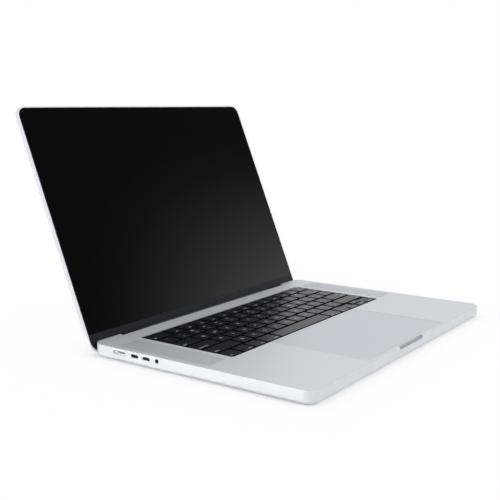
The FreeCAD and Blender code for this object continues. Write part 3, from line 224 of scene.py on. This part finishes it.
def geometry_tree(name, inputs):
    """An empty Geometry Nodes tree with named inputs, and the identifiers that set them."""
    tree = bpy.data.node_groups.new(name, "GeometryNodeTree")
    tree.interface.new_socket("Geometry", in_out="INPUT", socket_type="NodeSocketGeometry")
    names = {label: tree.interface.new_socket(label, in_out="INPUT", socket_type=kind).identifier
             for label, kind in inputs.items()}
    tree.interface.new_socket("Geometry", in_out="OUTPUT", socket_type="NodeSocketGeometry")
    return tree, names


def grown(piece, tree, names, values):
    """Runs a tree on a piece and leaves the result as a plain mesh."""
    modifier = piece.modifiers.new(tree.name, "NODES")
    modifier.node_group = tree
    for label, value in values.items():
        modifier[names[label]] = value
    piece.data = plain_mesh(piece)


def drilled_cell():
    """One square of the deck plate with a hole through its middle."""
    mesh = bpy.data.meshes.new("drilled_cell")
    form = bmesh.new()
    half = GRILLE_PITCH / 2
    turns = [2 * math.pi * index / HOLE_SIDES for index in range(HOLE_SIDES)]
    rings = []
    for level in (0, -DECK_THICKNESS):
        corners = [form.verts.new((half * across, half * along, level))
                   for across, along in ((1, 1), (-1, 1), (-1, -1), (1, -1))]
        rim = [form.verts.new((GRILLE_HOLE * math.cos(turn), GRILLE_HOLE * math.sin(turn), level))
               for turn in turns]
        rings.append((corners, rim))
    step = HOLE_SIDES // 4
    for (corners, rim), turned in zip(rings, (False, True)):
        for quarter in range(4):
            arc = [rim[(quarter * step + index) % HOLE_SIDES] for index in range(step + 1)]
            face = [corners[quarter], *reversed(arc)]
            gap = [corners[quarter], corners[(quarter + 1) % 4], arc[-1]]
            for outline in (face, gap):
                form.faces.new(reversed(outline) if turned else outline)
    top, low = rings[0][1], rings[1][1]
    for index in range(HOLE_SIDES):
        after = (index + 1) % HOLE_SIDES
        form.faces.new((top[index], top[after], low[after], low[index]))
    bmesh.ops.recalc_face_normals(form, faces=form.faces)
    form.to_mesh(mesh)
    form.free()
    return mesh


def close_sides(mesh):
    """Closes a perforated plate along its outer sides."""
    form = bmesh.new()
    form.from_mesh(mesh)
    bmesh.ops.bridge_loops(form, edges=[edge for edge in form.edges if edge.is_boundary])
    bmesh.ops.recalc_face_normals(form, faces=form.faces)
    form.to_mesh(mesh)
    form.free()


tree, names = geometry_tree("speaker_perforations", {
    "Columns": "NodeSocketInt", "Rows": "NodeSocketInt", "Pitch": "NodeSocketFloat",
    "Middle": "NodeSocketVector", "Finish": "NodeSocketMaterial", "Painted Shade": "NodeSocketMaterial"})
given = add(tree, "NodeGroupInput").outputs
steps = [add(tree, "ShaderNodeMath", {0: given[count], 1: 1.0}, operation="SUBTRACT").outputs[0]
         for count in ("Columns", "Rows")]
lengths = [add(tree, "ShaderNodeMath", {0: count, 1: given["Pitch"]}, operation="MULTIPLY").outputs[0]
           for count in steps]
field = add(tree, "GeometryNodeMeshGrid", {"Size X": lengths[0], "Size Y": lengths[1],
                                           "Vertices X": given["Columns"], "Vertices Y": given["Rows"]})
laid = add(tree, "GeometryNodeTransform", {"Geometry": field.outputs[0], "Translation": given["Middle"]})
cells = add(tree, "GeometryNodeInstanceOnPoints", {"Points": laid.outputs[0],
                                                   "Instance": given["Geometry"]})
real = add(tree, "GeometryNodeRealizeInstances", {"Geometry": cells.outputs[0]})
joined = add(tree, "GeometryNodeMergeByDistance", {"Geometry": real.outputs[0], "Distance": CELL_WELD})
dressed = add(tree, "GeometryNodeSetMaterial", {"Geometry": joined.outputs[0],
                                                "Material": given["Finish"]})
# The holes' upright walls take the painted shade, black and dull.
facing = add(tree, "ShaderNodeSeparateXYZ", {0: add(tree, "GeometryNodeInputNormal").outputs[0]})
upright = add(tree, "FunctionNodeCompare", {"A": facing.outputs["Z"], "B": 0.0, "Epsilon": FACING},
              operation="EQUAL")
walls_painted_shade = add(tree, "GeometryNodeSetMaterial", {"Geometry": dressed.outputs[0],
                                              "Selection": upright.outputs[0],
                                              "Material": given["Painted Shade"]})
add(tree, "NodeGroupOutput", {0: walls_painted_shade.outputs[0]})

for name, middle in zip(("left", "right"), grille_middles):
    grille = new_piece(f"speaker_grille_{name}", drilled_cell(), aluminium)
    grown(grille, tree, names, {"Columns": GRILLE_COLUMNS, "Rows": GRILLE_ROWS, "Pitch": GRILLE_PITCH,
                                "Middle": middle, "Finish": aluminium, "Painted Shade": hole_painted_shade})
    close_sides(grille.data)
    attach(grille, "base")

# Bottom cover: a shallow pan of the same anodised aluminium that closes the case from below, with
# a rounded lower edge.
bottom_cover = new_piece("bottom_pan", merged_copy("bottom_cover"), aluminium)
soften(bottom_cover)
settle(bottom_cover, "base", "case_metal", "bottom_cover")

# Cover screws: six small screws with a hexagon socket in the head, turned in stainless steel. They
# hold the bottom cover to bosses under the deck.
SCREW_X = 169.35 * MM
SCREW_SETBACKS = (8.5 * MM, 50.0 * MM, 227.0 * MM)
SCREW_LOW, SCREW_HIGH = [corner[2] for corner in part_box("cover_screws")]
HEAD_RADIUS, HEAD_HEIGHT, HEAD_SIDES = 2.0 * MM, 0.8 * MM, 32
SHANK_RADIUS, SHANK_SIDES = 1.0 * MM, 24
SOCKET_RADIUS, SOCKET_DEPTH, SOCKET_SIDES = 1.0 * MM, 0.5 * MM, 6

# Stainless steel, turned: a bright metal with faint marks of the tool, 0.2 mm apart.
steel = grained("stainless_steel", 0.2, ("#a9abaf", "#b9bbbf"), (0.25, 0.4), 0.002,
                sockets={"Metallic": 1.0})

tree, names = geometry_tree("cover_screws", {
    "Head Radius": "NodeSocketFloat", "Head Height": "NodeSocketFloat",
    "Shank Radius": "NodeSocketFloat", "Shank Length": "NodeSocketFloat",
    "Socket Radius": "NodeSocketFloat", "Socket Depth": "NodeSocketFloat",
    "Finish": "NodeSocketMaterial"})
given = add(tree, "NodeGroupInput").outputs
head = add(tree, "GeometryNodeMeshCylinder", {"Vertices": HEAD_SIDES, "Radius": given["Head Radius"],
                                              "Depth": given["Head Height"]})
half_head = add(tree, "ShaderNodeMath", {0: given["Head Height"], 1: 0.5}, operation="MULTIPLY")
rise = add(tree, "ShaderNodeCombineXYZ", {"Z": half_head.outputs[0]})
head_up = add(tree, "GeometryNodeTransform", {"Geometry": head.outputs[0], "Translation": rise.outputs[0]})
socket = add(tree, "GeometryNodeMeshCylinder", {"Vertices": SOCKET_SIDES,
                                                "Radius": given["Socket Radius"],
                                                "Depth": given["Socket Depth"]})
sunk = add(tree, "GeometryNodeMeshBoolean", {0: head_up.outputs[0], 1: socket.outputs[0]},
           operation="DIFFERENCE", solver="EXACT")
shank = add(tree, "GeometryNodeMeshCylinder", {"Vertices": SHANK_SIDES, "Radius": given["Shank Radius"],
                                               "Depth": given["Shank Length"]})
half_shank = add(tree, "ShaderNodeMath", {0: given["Shank Length"], 1: 0.5}, operation="MULTIPLY")
lift = add(tree, "ShaderNodeMath", {0: half_shank.outputs[0], 1: given["Head Height"]}, operation="ADD")
above = add(tree, "ShaderNodeCombineXYZ", {"Z": lift.outputs[0]})
shank_up = add(tree, "GeometryNodeTransform", {"Geometry": shank.outputs[0],
                                               "Translation": above.outputs[0]})
screw = add(tree, "GeometryNodeJoinGeometry", {0: sunk.outputs[0]})
tree.links.new(shank_up.outputs[0], screw.inputs[0])
placed = add(tree, "GeometryNodeInstanceOnPoints", {"Points": given["Geometry"],
                                                    "Instance": screw.outputs[0]})
real = add(tree, "GeometryNodeRealizeInstances", {"Geometry": placed.outputs[0]})
dressed = add(tree, "GeometryNodeSetMaterial", {"Geometry": real.outputs[0], "Material": given["Finish"]})
add(tree, "NodeGroupOutput", {0: dressed.outputs[0]})

spots = bpy.data.meshes.new("screw_spots")
spots.from_pydata([(side * SCREW_X, case_low.y + setback, SCREW_LOW)
                   for side in (-1, 1) for setback in SCREW_SETBACKS], [], [])
screws = new_piece("hexagon_screws", spots, steel)
grown(screws, tree, names, {
    "Head Radius": HEAD_RADIUS, "Head Height": HEAD_HEIGHT, "Shank Radius": SHANK_RADIUS,
    "Shank Length": SCREW_HIGH - SCREW_LOW - HEAD_HEIGHT, "Socket Radius": SOCKET_RADIUS,
    "Socket Depth": 2 * SOCKET_DEPTH, "Finish": steel})
soften(screws)
settle(screws, "base", "steel_plate", "cover_screws")

# Feet: four low discs of black moulded rubber, bonded to the bottom cover. Their sides slope in
# towards the table.
FOOT_EDGE = 0.25 * MM
# Moulded rubber: dull and nearly black, with a grain of about half a millimetre.
rubber = grained("moulded_rubber", 0.5, ("#151516", "#1f1f21"), (0.7, 0.9), 0.02)
feet = new_piece("rubber_feet", merged_copy("feet"), rubber)
soften(feet, FOOT_EDGE, segments=3)
settle(feet, "base", "foot_rubber", "feet")

# Battery, board and cooling: the pieces inside the case, seen only with the bottom cover off.
# Each keeps its frame shape and gets the finish of the real one.
# Polyester film, wrapped: satin black with soft creases a few millimetres apart.
wrap = grained("black_polyester_film", 6.0, ("#161618", "#222226"), (0.35, 0.55), 0.15)
# Glass fibre laminate under solder mask: matt dark blue-green with the weave showing faintly.
laminate = grained("masked_laminate", 1.2, ("#0d1d1f", "#15302f"), (0.4, 0.6), 0.01, stretch=(1, 4, 1))
# Moulded epoxy over the chip: dull dark grey, finely sanded.
epoxy = grained("moulded_epoxy", 0.3, ("#2a2b2e", "#36373b"), (0.5, 0.65), 0.004)
# Copper, rolled and lacquered: warm, with fine streaks along the pipe.
copper = grained("rolled_copper", 0.8, ("#a8683f", "#c07f55"), (0.25, 0.4), 0.003, stretch=(0.1, 1, 1),
                 sockets={"Metallic": 1.0})
# ABS, moulded: dark and satin, with a fine spark-eroded texture.
abs_plastic = grained("moulded_abs", 0.4, ("#17181a", "#212225"), (0.45, 0.6), 0.01)
# Steel sheet, zinc plated: pale grey with a broad crystal mottling.
plated = grained("plated_steel_sheet", 3.0, ("#8f9296", "#a5a8ad"), (0.3, 0.5), 0.003,
                 sockets={"Metallic": 1.0})


def paint(material, *nodes):
    """Gives pieces that keep their frame shape a finish."""
    for name in nodes:
        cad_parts[name].material_slots[0].material = material


paint(wrap, "battery_cells")
paint(laminate, "logic_board")
paint(epoxy, "processor_package")
paint(copper, "heat_sink")
paint(abs_plastic, "fan_housing_left", "fan_housing_right", "fan_rotor_left", "fan_rotor_right",
      "speaker_left", "speaker_right")
paint(plated, "trackpad_frame", "haptic_engine", "keyboard_backplate")

# Sockets: black bodies of liquid-crystal polymer, soldered to the board behind the openings in the
# case's sides.
# Glass-filled polymer, moulded: nearly black and satin.
polymer = grained("glass_filled_polymer", 0.3, ("#0c0c0d", "#161617"), (0.35, 0.5), 0.004)
paint(polymer, "left_data_sockets", "right_data_socket", "audio_socket", "video_socket", "card_slot")

# Charging socket: a shallow rounded recess moulded in pale polymer, with a row of five contacts that
# stand on its floor. It is soldered to the board behind the case's left side.
# Mineral-filled polymer, moulded: pale grey and satin, and made paler than the metal round it with painted
# light that lifts the shade in the recess.
pale_polymer_painted_light = grained("mineral_filled_polymer_painted_light", 0.3, ("#dfe1e6", "#e9ebef"), (0.35, 0.5), 0.004)
# Nickel, blackened: dark and dull, worn in specks.
nickel = grained("blackened_nickel", 0.2, ("#111113", "#1b1b1e"), (0.35, 0.5), 0.002,
                 sockets={"Metallic": 1.0})
CONTACT_RADIUS, CONTACT_FOOT, CONTACT_ROW = 0.6 * MM, 2.2 * MM, 10.0 * MM
CONTACT_SLACK = 0.03 * MM
charging_socket = new_piece("charging_recess", merged_copy("charging_socket"), pale_polymer_painted_light)
charging_socket.data.materials.append(nickel)
low, high = [Vector(corner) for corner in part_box("charging_socket")]
for face in charging_socket.data.polygons:
    from_middle = face.center - (low + high) / 2
    raised = CONTACT_FOOT / 2 < face.center.x - low.x < CONTACT_FOOT - CONTACT_SLACK
    in_row = abs(from_middle.y) < CONTACT_ROW / 2 and abs(from_middle.z) < CONTACT_RADIUS + CONTACT_SLACK
    if raised and in_row:
        face.material_index = 1
soften(charging_socket)
settle(charging_socket, "base", "socket_dark", "charging_socket")

# Keyboard web and membrane: a black grid round the keys, moulded in ABS and fixed under the deck, and
# the switch film that shows through its gaps.
# ABS with a matt black coat: very dark, and dull enough to make the gaps read as shadow.
coat = grained("matt_black_coat", 0.4, ("#09090c", "#0d0d11"), (0.6, 0.75), 0.004,
               sockets={"Specular IOR Level": 0.0})
paint(coat, "keyboard_web", "switch_membrane")

# Keycaps: flat caps with rounded edges, moulded in black ABS and printed with pale legends.
# Each row's like keys move as one group, and the long keys and arrows each move by themselves.
COOL_SHEEN = linear("#dcdcf4")
# ABS with a fine satin texture: near black, with a soft sheen at a low angle.
key_plastic = grained("satin_black_abs", 0.45, ("#0c0c13", "#12121b"), (0.28, 0.36), 0.003,
                      sockets={"Specular IOR Level": 0.22, "Specular Tint": COOL_SHEEN})
# Legend ink, pad printed: an even pale grey, slightly rough.
ink = grained("legend_ink", 0.3, ("#b8b9bf", "#c2c3c8"), (0.5, 0.6), 0.001)
INK_SLOT, SIDE_SLOT = 1, 2
KEY_PITCH = 19.05 * MM
KEY_DRAFT = 0.35 * MM
KEY_EDGE = 0.3 * MM
LETTER, SMALL_LETTER, WORD = 5.2 * MM, 4.2 * MM, 3.6 * MM
WORD_MARGIN = 1.9 * MM
WORD_RISE = WORD_MARGIN + WORD / 3
PAIR_SHARE = 0.2
HOME_BAR = (3.0 * MM, 0.35 * MM)
HOME_BAR_SHARE = 0.12
ARROW = 1.3 * MM
INK_RISE = 0.02 * MM
INK_WELD = 0.0001 * MM

# Legends of each group from left to right: one sign, two signs for lower and upper, a word with the
# side that it stands at, or the angle that an arrow points at
LEGENDS = {
    "left_modifier_keys": (("fn", "LEFT"), ("ctrl", "RIGHT"), ("alt", "RIGHT")),
    "left_command_key": (("cmd", "RIGHT"),),
    "space_bar": ("",),
    "right_command_key": (("cmd", "LEFT"),),
    "right_option_key": (("alt", "LEFT"),),
    "left_shift_key": (("shift", "LEFT"),),
    "lower_letter_keys": ("Z", "X", "C", "V", "B", "N", "M", ",<", ".>", "/?"),
    "right_shift_key": (("shift", "RIGHT"),),
    "caps_lock_key": (("caps lock", "LEFT"),),
    "home_letter_keys": ("A", "S", "D", "F", "G", "H", "J", "K", "L", ";:", "'\""),
    "return_key": (("return", "RIGHT"),),
    "tab_key": (("tab", "LEFT"),),
    "upper_letter_keys": ("Q", "W", "E", "R", "T", "Y", "U", "I", "O", "P", "[{", "]}", "\\|"),
    "number_keys": ("`~", "1!", "2@", "3#", "4$", "5%", "6^", "7&", "8*", "9(", "0)", "-_", "=+"),
    "delete_key": (("delete", "RIGHT"),),
    "escape_key": (("esc", "LEFT"),),
    "function_keys": tuple((f"F{count}", "CENTER") for count in range(1, 13)),
    "power_key": ("",),
    "left_arrow_key": (180,),
    "down_arrow_key": (270,),
    "up_arrow_key": (90,),
    "right_arrow_key": (0,),
}


def lettering(text, height, align="CENTER"):
    """Flat letters about the origin."""
    curve = bpy.data.curves.new("legend", "FONT")
    curve.body = text
    curve.size = height
    curve.align_x = align
    curve.align_y = "CENTER"
    curve.resolution_u = 2
    writing = bpy.data.objects.new("legend", curve)
    mesh = bpy.data.meshes.new_from_object(writing)
    bpy.data.objects.remove(writing)
    return mesh


def flat_shape(corners):
    """A flat outline about the origin."""
    mesh = bpy.data.meshes.new("legend")
    mesh.from_pydata([(across, along, 0) for across, along in corners], [], [range(len(corners))])
    return mesh


def key_legend(legend, width, depth):
    """The flat meshes of one key's legend, each with its place from the key's middle."""
    if isinstance(legend, int):
        turns = [math.radians(legend + step) for step in (0, 120, 240)]
        yield flat_shape([(ARROW * math.cos(turn), ARROW * math.sin(turn)) for turn in turns]), 0, 0
    elif isinstance(legend, tuple):
        word, align = legend
        across = {"LEFT": -1, "CENTER": 0, "RIGHT": 1}[align] * (width / 2 - WORD_MARGIN)
        yield lettering(word, WORD, align), across, WORD_RISE - depth / 2
    elif len(legend) == 2:
        yield lettering(legend[0], SMALL_LETTER), 0, -PAIR_SHARE * depth
        yield lettering(legend[1], SMALL_LETTER), 0, PAIR_SHARE * depth
    elif legend:
        yield lettering(legend, LETTER), 0, 0
        if legend in "FJ":
            half = [size / 2 for size in HOME_BAR]
            bar = [(-half[0], -half[1]), (half[0], -half[1]), (half[0], half[1]), (-half[0], half[1])]
            yield flat_shape(bar), 0, HOME_BAR_SHARE * depth - depth / 2


def draft_tops(form, top, middles, along, width, depth):
    """Draws the tops of a row of keycaps in, each towards its own middle, and rounds their rims."""
    for vert in form.verts:
        if abs(vert.co.z - top) < WELD:
            across = min(middles, key=lambda place: abs(vert.co.x - place))
            vert.co.x = across + (vert.co.x - across) * (1 - 2 * KEY_DRAFT / width)
            vert.co.y = along + (vert.co.y - along) * (1 - 2 * KEY_DRAFT / depth)
    rim = [edge for edge in form.edges if all(abs(vert.co.z - top) < WELD for vert in edge.verts)
           and edge.calc_face_angle(0) > SMOOTH_ANGLE]
    bmesh.ops.bevel(form, geom=rim, offset=KEY_EDGE, segments=3, profile=0.5, affect="EDGES",
                    clamp_overlap=True)


def print_on(form, flat, spot):
    """Adds a flat sign to the keycaps as a thin closed layer of ink."""
    flat.transform(Matrix.Translation(spot))
    layer = bmesh.new()
    layer.from_mesh(flat)
    bmesh.ops.remove_doubles(layer, verts=layer.verts, dist=INK_WELD)
    bmesh.ops.solidify(layer, geom=layer.faces, thickness=2 * INK_RISE)
    bmesh.ops.recalc_face_normals(layer, faces=layer.faces)
    layer.to_mesh(flat)
    layer.free()
    flat.polygons.foreach_set("material_index", [INK_SLOT] * len(flat.polygons))
    form.from_mesh(flat)


for node, legends in LEGENDS.items():
    low, high = [Vector(corner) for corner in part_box(node)]
    key_width = high.x - low.x - (len(legends) - 1) * KEY_PITCH
    key_depth = high.y - low.y
    key_middles = [low.x + key_width / 2 + index * KEY_PITCH for index in range(len(legends))]
    key_along = low.y + key_depth / 2
    form = bmesh.new()
    form.from_mesh(merged_copy(node))
    draft_tops(form, high.z, key_middles, key_along, key_width, key_depth)
    for middle, legend in zip(key_middles, legends):
        for flat, across, along in key_legend(legend, key_width, key_depth):
            spot = Vector((middle, key_along, high.z + INK_RISE)) + Vector((across, along, 0))
            print_on(form, flat, spot)
    mesh = bpy.data.meshes.new(node)
    form.to_mesh(mesh)
    form.free()
    keycap = new_piece(f"printed_{node}", mesh, key_plastic)
    mesh.materials.append(ink)
    mesh.materials.append(coat)
    for face in mesh.polygons:
        if face.material_index != INK_SLOT and face.normal.z < FACING:
            face.material_index = SIDE_SLOT
    soften(keycap)
    settle(keycap, f"{node}_body", "key_plastic", node)

# Web lands: the two places of the keyboard web beside the up arrow that have no key. They are printed
# satin black, like the keys.
LAND_GAP = 0.6 * MM
web_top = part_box("keyboard_web")[1][2]
land_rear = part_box("up_arrow_key")[1][1]
spans = [((low[0], high[1] + LAND_GAP, web_top - INK_RISE), (high[0], land_rear, web_top + INK_RISE))
         for low, high in map(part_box, ("left_arrow_key", "right_arrow_key"))]
lands = new_piece("web_lands", blocks("web_lands", spans), key_plastic)
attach(lands, "base")

# Trackpad: a plate of etched glass, painted silver on its rear. It lies flush in the deck and gives a
# quarter of a millimetre when it is pressed.
TRACKPAD_EDGE = 0.15 * MM
# Etched glass over silver paint: matt and metallic, a shade cooler than the deck.
etched_glass = grained("etched_silver_glass", 0.6, ("#c4c7cf", "#cbced5"), (0.38, 0.44), 0.001,
                       sockets={"Metallic": 0.85})
trackpad = new_piece("trackpad_plate", merged_copy("trackpad_glass"), etched_glass)
soften(trackpad, TRACKPAD_EDGE)
settle(trackpad, "trackpad", "trackpad_finish", "trackpad_glass")

# Hinges: steel brackets under the deck and steel leaves in the lid, on one pin at each end, with a
# black strip and barrel that hides them.
STRIP_EDGE = 0.1 * MM
# Spring steel, blackened: dark and satin, with a fine rubbed grain.
black_steel = grained("blackened_spring_steel", 0.3, ("#1b1b1e", "#27272b"), (0.35, 0.5), 0.003,
                      sockets={"Metallic": 1.0})
# PC and ABS blend, moulded: black and satin.
blend = grained("satin_black_blend", 0.4, ("#0c0c12", "#13131a"), (0.36, 0.46), 0.004,
                sockets={"Specular Tint": COOL_SHEEN})
paint(black_steel, "hinge_bracket_left", "hinge_bracket_right", "hinge_leaf_left", "hinge_leaf_right",
      "hinge_pins")
hinge_cover = new_piece("hinge_strip", merged_copy("hinge_cover"), blend)
soften(hinge_cover, STRIP_EDGE)
settle(hinge_cover, "lid", "hinge_plastic", "hinge_cover")

# Lid: a thin milled tray of anodised aluminium with rounded rear edges, which carries the panel, the
# camera, the cover glass and a soft gasket that faces the deck when it is closed.
# Aluminium edge, blasted coarser before it is anodised: more matt than the broad faces, and paler with
# painted light for the light that falls on the rim.
matt_edge_painted_light = grained("lid_edge_painted_light", 0.5, ("#e4e3ec", "#ebeaf1"), (0.5, 0.6), 0.0005,
                    sockets={"Metallic": 0.15})
lid_shell = new_piece("lid_tray", merged_copy("lid_shell"), aluminium)
lid_shell.data.materials.append(matt_edge_painted_light)
lid_back = max(lid_shell.data.polygons, key=lambda face: face.area).normal.copy()
# Every face but the broad back takes the paler edge metal, whose paleness is painted light.
for face in lid_shell.data.polygons:
    if face.normal.dot(lid_back) < FACING:
        face.material_index = 1
soften(lid_shell, CASE_EDGE)
settle(lid_shell, "lid", "case_metal", "lid_shell")
paint(abs_plastic, "camera_module")
paint(coat, "display_panel")
paint(rubber, "display_gasket")

# Display glass: one polished sheet, printed black on its rear. It is bonded to a step inside the lid's
# rim, and lies flush with it.
GLASS_EDGE = 0.08 * MM
# Polished glass over black: a deep gloss with faint smears about 40 mm across.
glass = grained("black_backed_glass", 40.0, ("#020203", "#040405"), (0.03, 0.07), 0.0,
                sockets={"IOR": 1.5})
display_glass = new_piece("display_sheet", merged_copy("display_glass"), glass)
soften(display_glass, GLASS_EDGE)
settle(display_glass, "lid", "display_black", "display_glass")

# Floor: a broad sheet of white paper that the laptop stands on. Near the case it takes light as paper
# does, so that the soft shadow shows, and further off it is white to the camera and in gloss.
FLOOR_SIZE = 12.0
SHADOW_NEAR, SHADOW_FAR = -0.02, 0.28
# How white the paper is to the camera, at shares of the way from near to far
GLOW_STOPS = ((0.0, 0.15), (0.055, 0.3), (0.085, 0.7), (0.13, 0.88), (0.3, 0.96), (1.0, 1.0))


def set_greys(ramp, stops):
    """Gives a ramp its stops, each a place and a grey."""
    for place, _ in stops[1:-1]:
        ramp.elements.new(place)
    for element, (place, grey) in zip(ramp.elements, stops):
        element.position, element.color = place, (grey, grey, grey, 1)


floor_mesh = bpy.data.meshes.new("floor")
half = FLOOR_SIZE / 2
floor_mesh.from_pydata([(-half, -half, 0), (half, -half, 0), (half, half, 0), (-half, half, 0)], [],
                       [(0, 1, 2, 3)])
# White paper: an even matt white.
paper = bpy.data.materials.new("white_paper")
paper.use_nodes = True
tree = paper.node_tree
tree.nodes.clear()
matt = add(tree, "ShaderNodeBsdfDiffuse", {"Color": linear("#f2f2f2")})
glow = add(tree, "ShaderNodeEmission", {"Color": linear("#ffffff"), "Strength": 1.0})
path = add(tree, "ShaderNodeLightPath")
seen = path.outputs["Is Camera Ray"]
for ray in ("Is Glossy Ray", "Is Transmission Ray"):
    seen = add(tree, "ShaderNodeMath", {0: seen, 1: path.outputs[ray]}, operation="MAXIMUM").outputs[0]
case_middle = [(low + high) / 2 for low, high in zip(case_low, case_high)]
place = add(tree, "ShaderNodeNewGeometry")
offset = add(tree, "ShaderNodeVectorMath", {0: place.outputs["Position"], 1: case_middle},
             operation="SUBTRACT")
spread = add(tree, "ShaderNodeVectorMath", {0: offset.outputs[0]}, operation="ABSOLUTE")
beyond = add(tree, "ShaderNodeVectorMath", {0: spread.outputs[0], 1: case_high - Vector(case_middle)},
             operation="SUBTRACT")
apart = add(tree, "ShaderNodeSeparateXYZ", {0: beyond.outputs[0]})
gap = add(tree, "ShaderNodeMath", {0: apart.outputs["X"], 1: apart.outputs["Y"]}, operation="MAXIMUM")
reach = add(tree, "ShaderNodeMapRange", {"Value": gap.outputs[0], "From Min": SHADOW_NEAR,
                                         "From Max": SHADOW_FAR})
fade = add(tree, "ShaderNodeValToRGB", {0: reach.outputs[0]})
set_greys(fade.color_ramp, GLOW_STOPS)
share = add(tree, "ShaderNodeMath", {0: seen, 1: fade.outputs[0]}, operation="MULTIPLY")
mixed = add(tree, "ShaderNodeMixShader", {0: share.outputs[0], 1: matt.outputs[0], 2: glow.outputs[0]})
add(tree, "ShaderNodeOutputMaterial", {0: mixed.outputs[0]})
floor = new_piece("floor", floor_mesh, paper)

# Room: white behind the laptop and low in front of it, and dark high in front, as the display glass
# mirrors it. The edge of the dark part is bowed, and falls a little towards the front.
ROOM_MIDDLE, ROOM_REACH, ROOM_BOW, ROOM_SLOPE = 0.55, 0.0225, 5.75, 0.1
ROOM_TURN = -0.35
ROOM_STOPS = ((0.23, 1.0), (0.302, 0.61), (0.348, 0.384), (0.394, 0.205), (0.439, 0.096), (0.485, 0.06),
              (0.53, 0.055))
world = bpy.data.worlds.new("white_studio")
bpy.context.scene.world = world
world.use_nodes = True
tree = world.node_tree
tree.nodes.clear()
way = add(tree, "ShaderNodeTexCoord")
parts = add(tree, "ShaderNodeSeparateXYZ", {0: way.outputs["Generated"]})
front = add(tree, "ShaderNodeMath", {0: parts.outputs["Y"]}, operation="ABSOLUTE").outputs[0]
aside = add(tree, "ShaderNodeMath", {0: front, 1: ROOM_MIDDLE}, operation="SUBTRACT").outputs[0]
bowed = add(tree, "ShaderNodeMath", {0: aside, 1: aside}, operation="MULTIPLY").outputs[0]
bow = add(tree, "ShaderNodeMath", {0: bowed, 1: ROOM_REACH}, operation="MINIMUM").outputs[0]
sloped = add(tree, "ShaderNodeMath", {0: front, 1: ROOM_SLOPE, 2: parts.outputs["Z"]},
             operation="MULTIPLY_ADD").outputs[0]
climb = add(tree, "ShaderNodeMath", {0: bow, 1: ROOM_BOW, 2: sloped}, operation="MULTIPLY_ADD")
shade = add(tree, "ShaderNodeValToRGB", {0: climb.outputs[0]})
set_greys(shade.color_ramp, ROOM_STOPS)
behind = add(tree, "ShaderNodeMapRange", {"Value": parts.outputs["Y"], "From Min": ROOM_TURN,
                                          "From Max": 0.0})
room = add(tree, "ShaderNodeMix", {0: behind.outputs[0], 6: shade.outputs[0], 7: (1, 1, 1, 1)},
           data_type="RGBA")
sky = add(tree, "ShaderNodeBackground", {"Color": room.outputs[2], "Strength": 1.0})
add(tree, "ShaderNodeOutputWorld", {0: sky.outputs[0]})

# Lamps: a broad dim one and a bright one stand together in front, and only the dim one shows in gloss.
# One more lights the left, and a small one with a barn door adds light there up to the deck's level.
FRONT_PLACE, FRONT_AIM = (0.1, -1.8, 1.3), (0, 0, 0.05)
LEFT_PLACE, LEFT_AIM = (-1.2, 0.15, 0.03), (-0.178, 0.0, 0.0)
SIDE_PLACE, SIDE_AIM = (-1.2, 0.15, DECK), (-0.178, 0.0, DECK)
# The barn door shuts between these two slopes of the lamp's rays
DOOR_OPEN, DOOR_SHUT = 0.003, 0.006


def soft_box(name, place, aim, size, power, spread=180, glare=True):
    """A square area lamp, turned towards a point; its grid narrows its beam, in degrees."""
    lamp = bpy.data.lights.new(name, "AREA")
    lamp.size = size
    lamp.energy = power
    lamp.spread = math.radians(spread)
    holder = bpy.data.objects.new(name, lamp)
    holder.location = place
    holder.rotation_euler = (Vector(aim) - Vector(place)).to_track_quat("-Z", "Y").to_euler()
    holder.visible_glossy = glare
    bpy.context.collection.objects.link(holder)
    return lamp


soft_box("left_box", LEFT_PLACE, LEFT_AIM, size=0.2, power=3.0)
soft_box("front_box", FRONT_PLACE, FRONT_AIM, size=2.2, power=13.3)
soft_box("front_fill", FRONT_PLACE, FRONT_AIM, size=1.2, power=24.0, glare=False)
side_lamp = soft_box("side_lamp", SIDE_PLACE, SIDE_AIM, size=0.006, power=0.12, spread=34)
side_lamp.use_nodes = True
tree = side_lamp.node_tree
beam = add(tree, "ShaderNodeNewGeometry")
slope = add(tree, "ShaderNodeSeparateXYZ", {0: beam.outputs["Incoming"]})
door = add(tree, "ShaderNodeMapRange", {"Value": slope.outputs["Z"], "From Min": DOOR_OPEN,
                                        "From Max": DOOR_SHUT, "To Min": 1.0, "To Max": 0.0})
tree.links.new(door.outputs[0], tree.nodes["Emission"].inputs["Strength"])

# Camera: its place, turn and lens were fitted to the straight edges of deck, keyboard and display.
# The sensor is 36 mm wide.
CAMERA_PLACE = (-0.70835, case_low.y - 0.32057, DECK + 0.21802)
CAMERA_TURN = [math.radians(angle) for angle in (80.2498, 0.1697, -54.4056)]
CAMERA_LENS, CAMERA_SENSOR = 60.28, 36.0
lens = bpy.data.cameras.new("camera")
lens.lens = CAMERA_LENS
lens.sensor_width = CAMERA_SENSOR
camera = bpy.data.objects.new("camera", lens)
camera.location = CAMERA_PLACE
camera.rotation_euler = Euler(CAMERA_TURN, "XYZ")
bpy.context.collection.objects.link(camera)
bpy.context.scene.camera = camera
bpy.context.scene.view_settings.view_transform = "Standard"
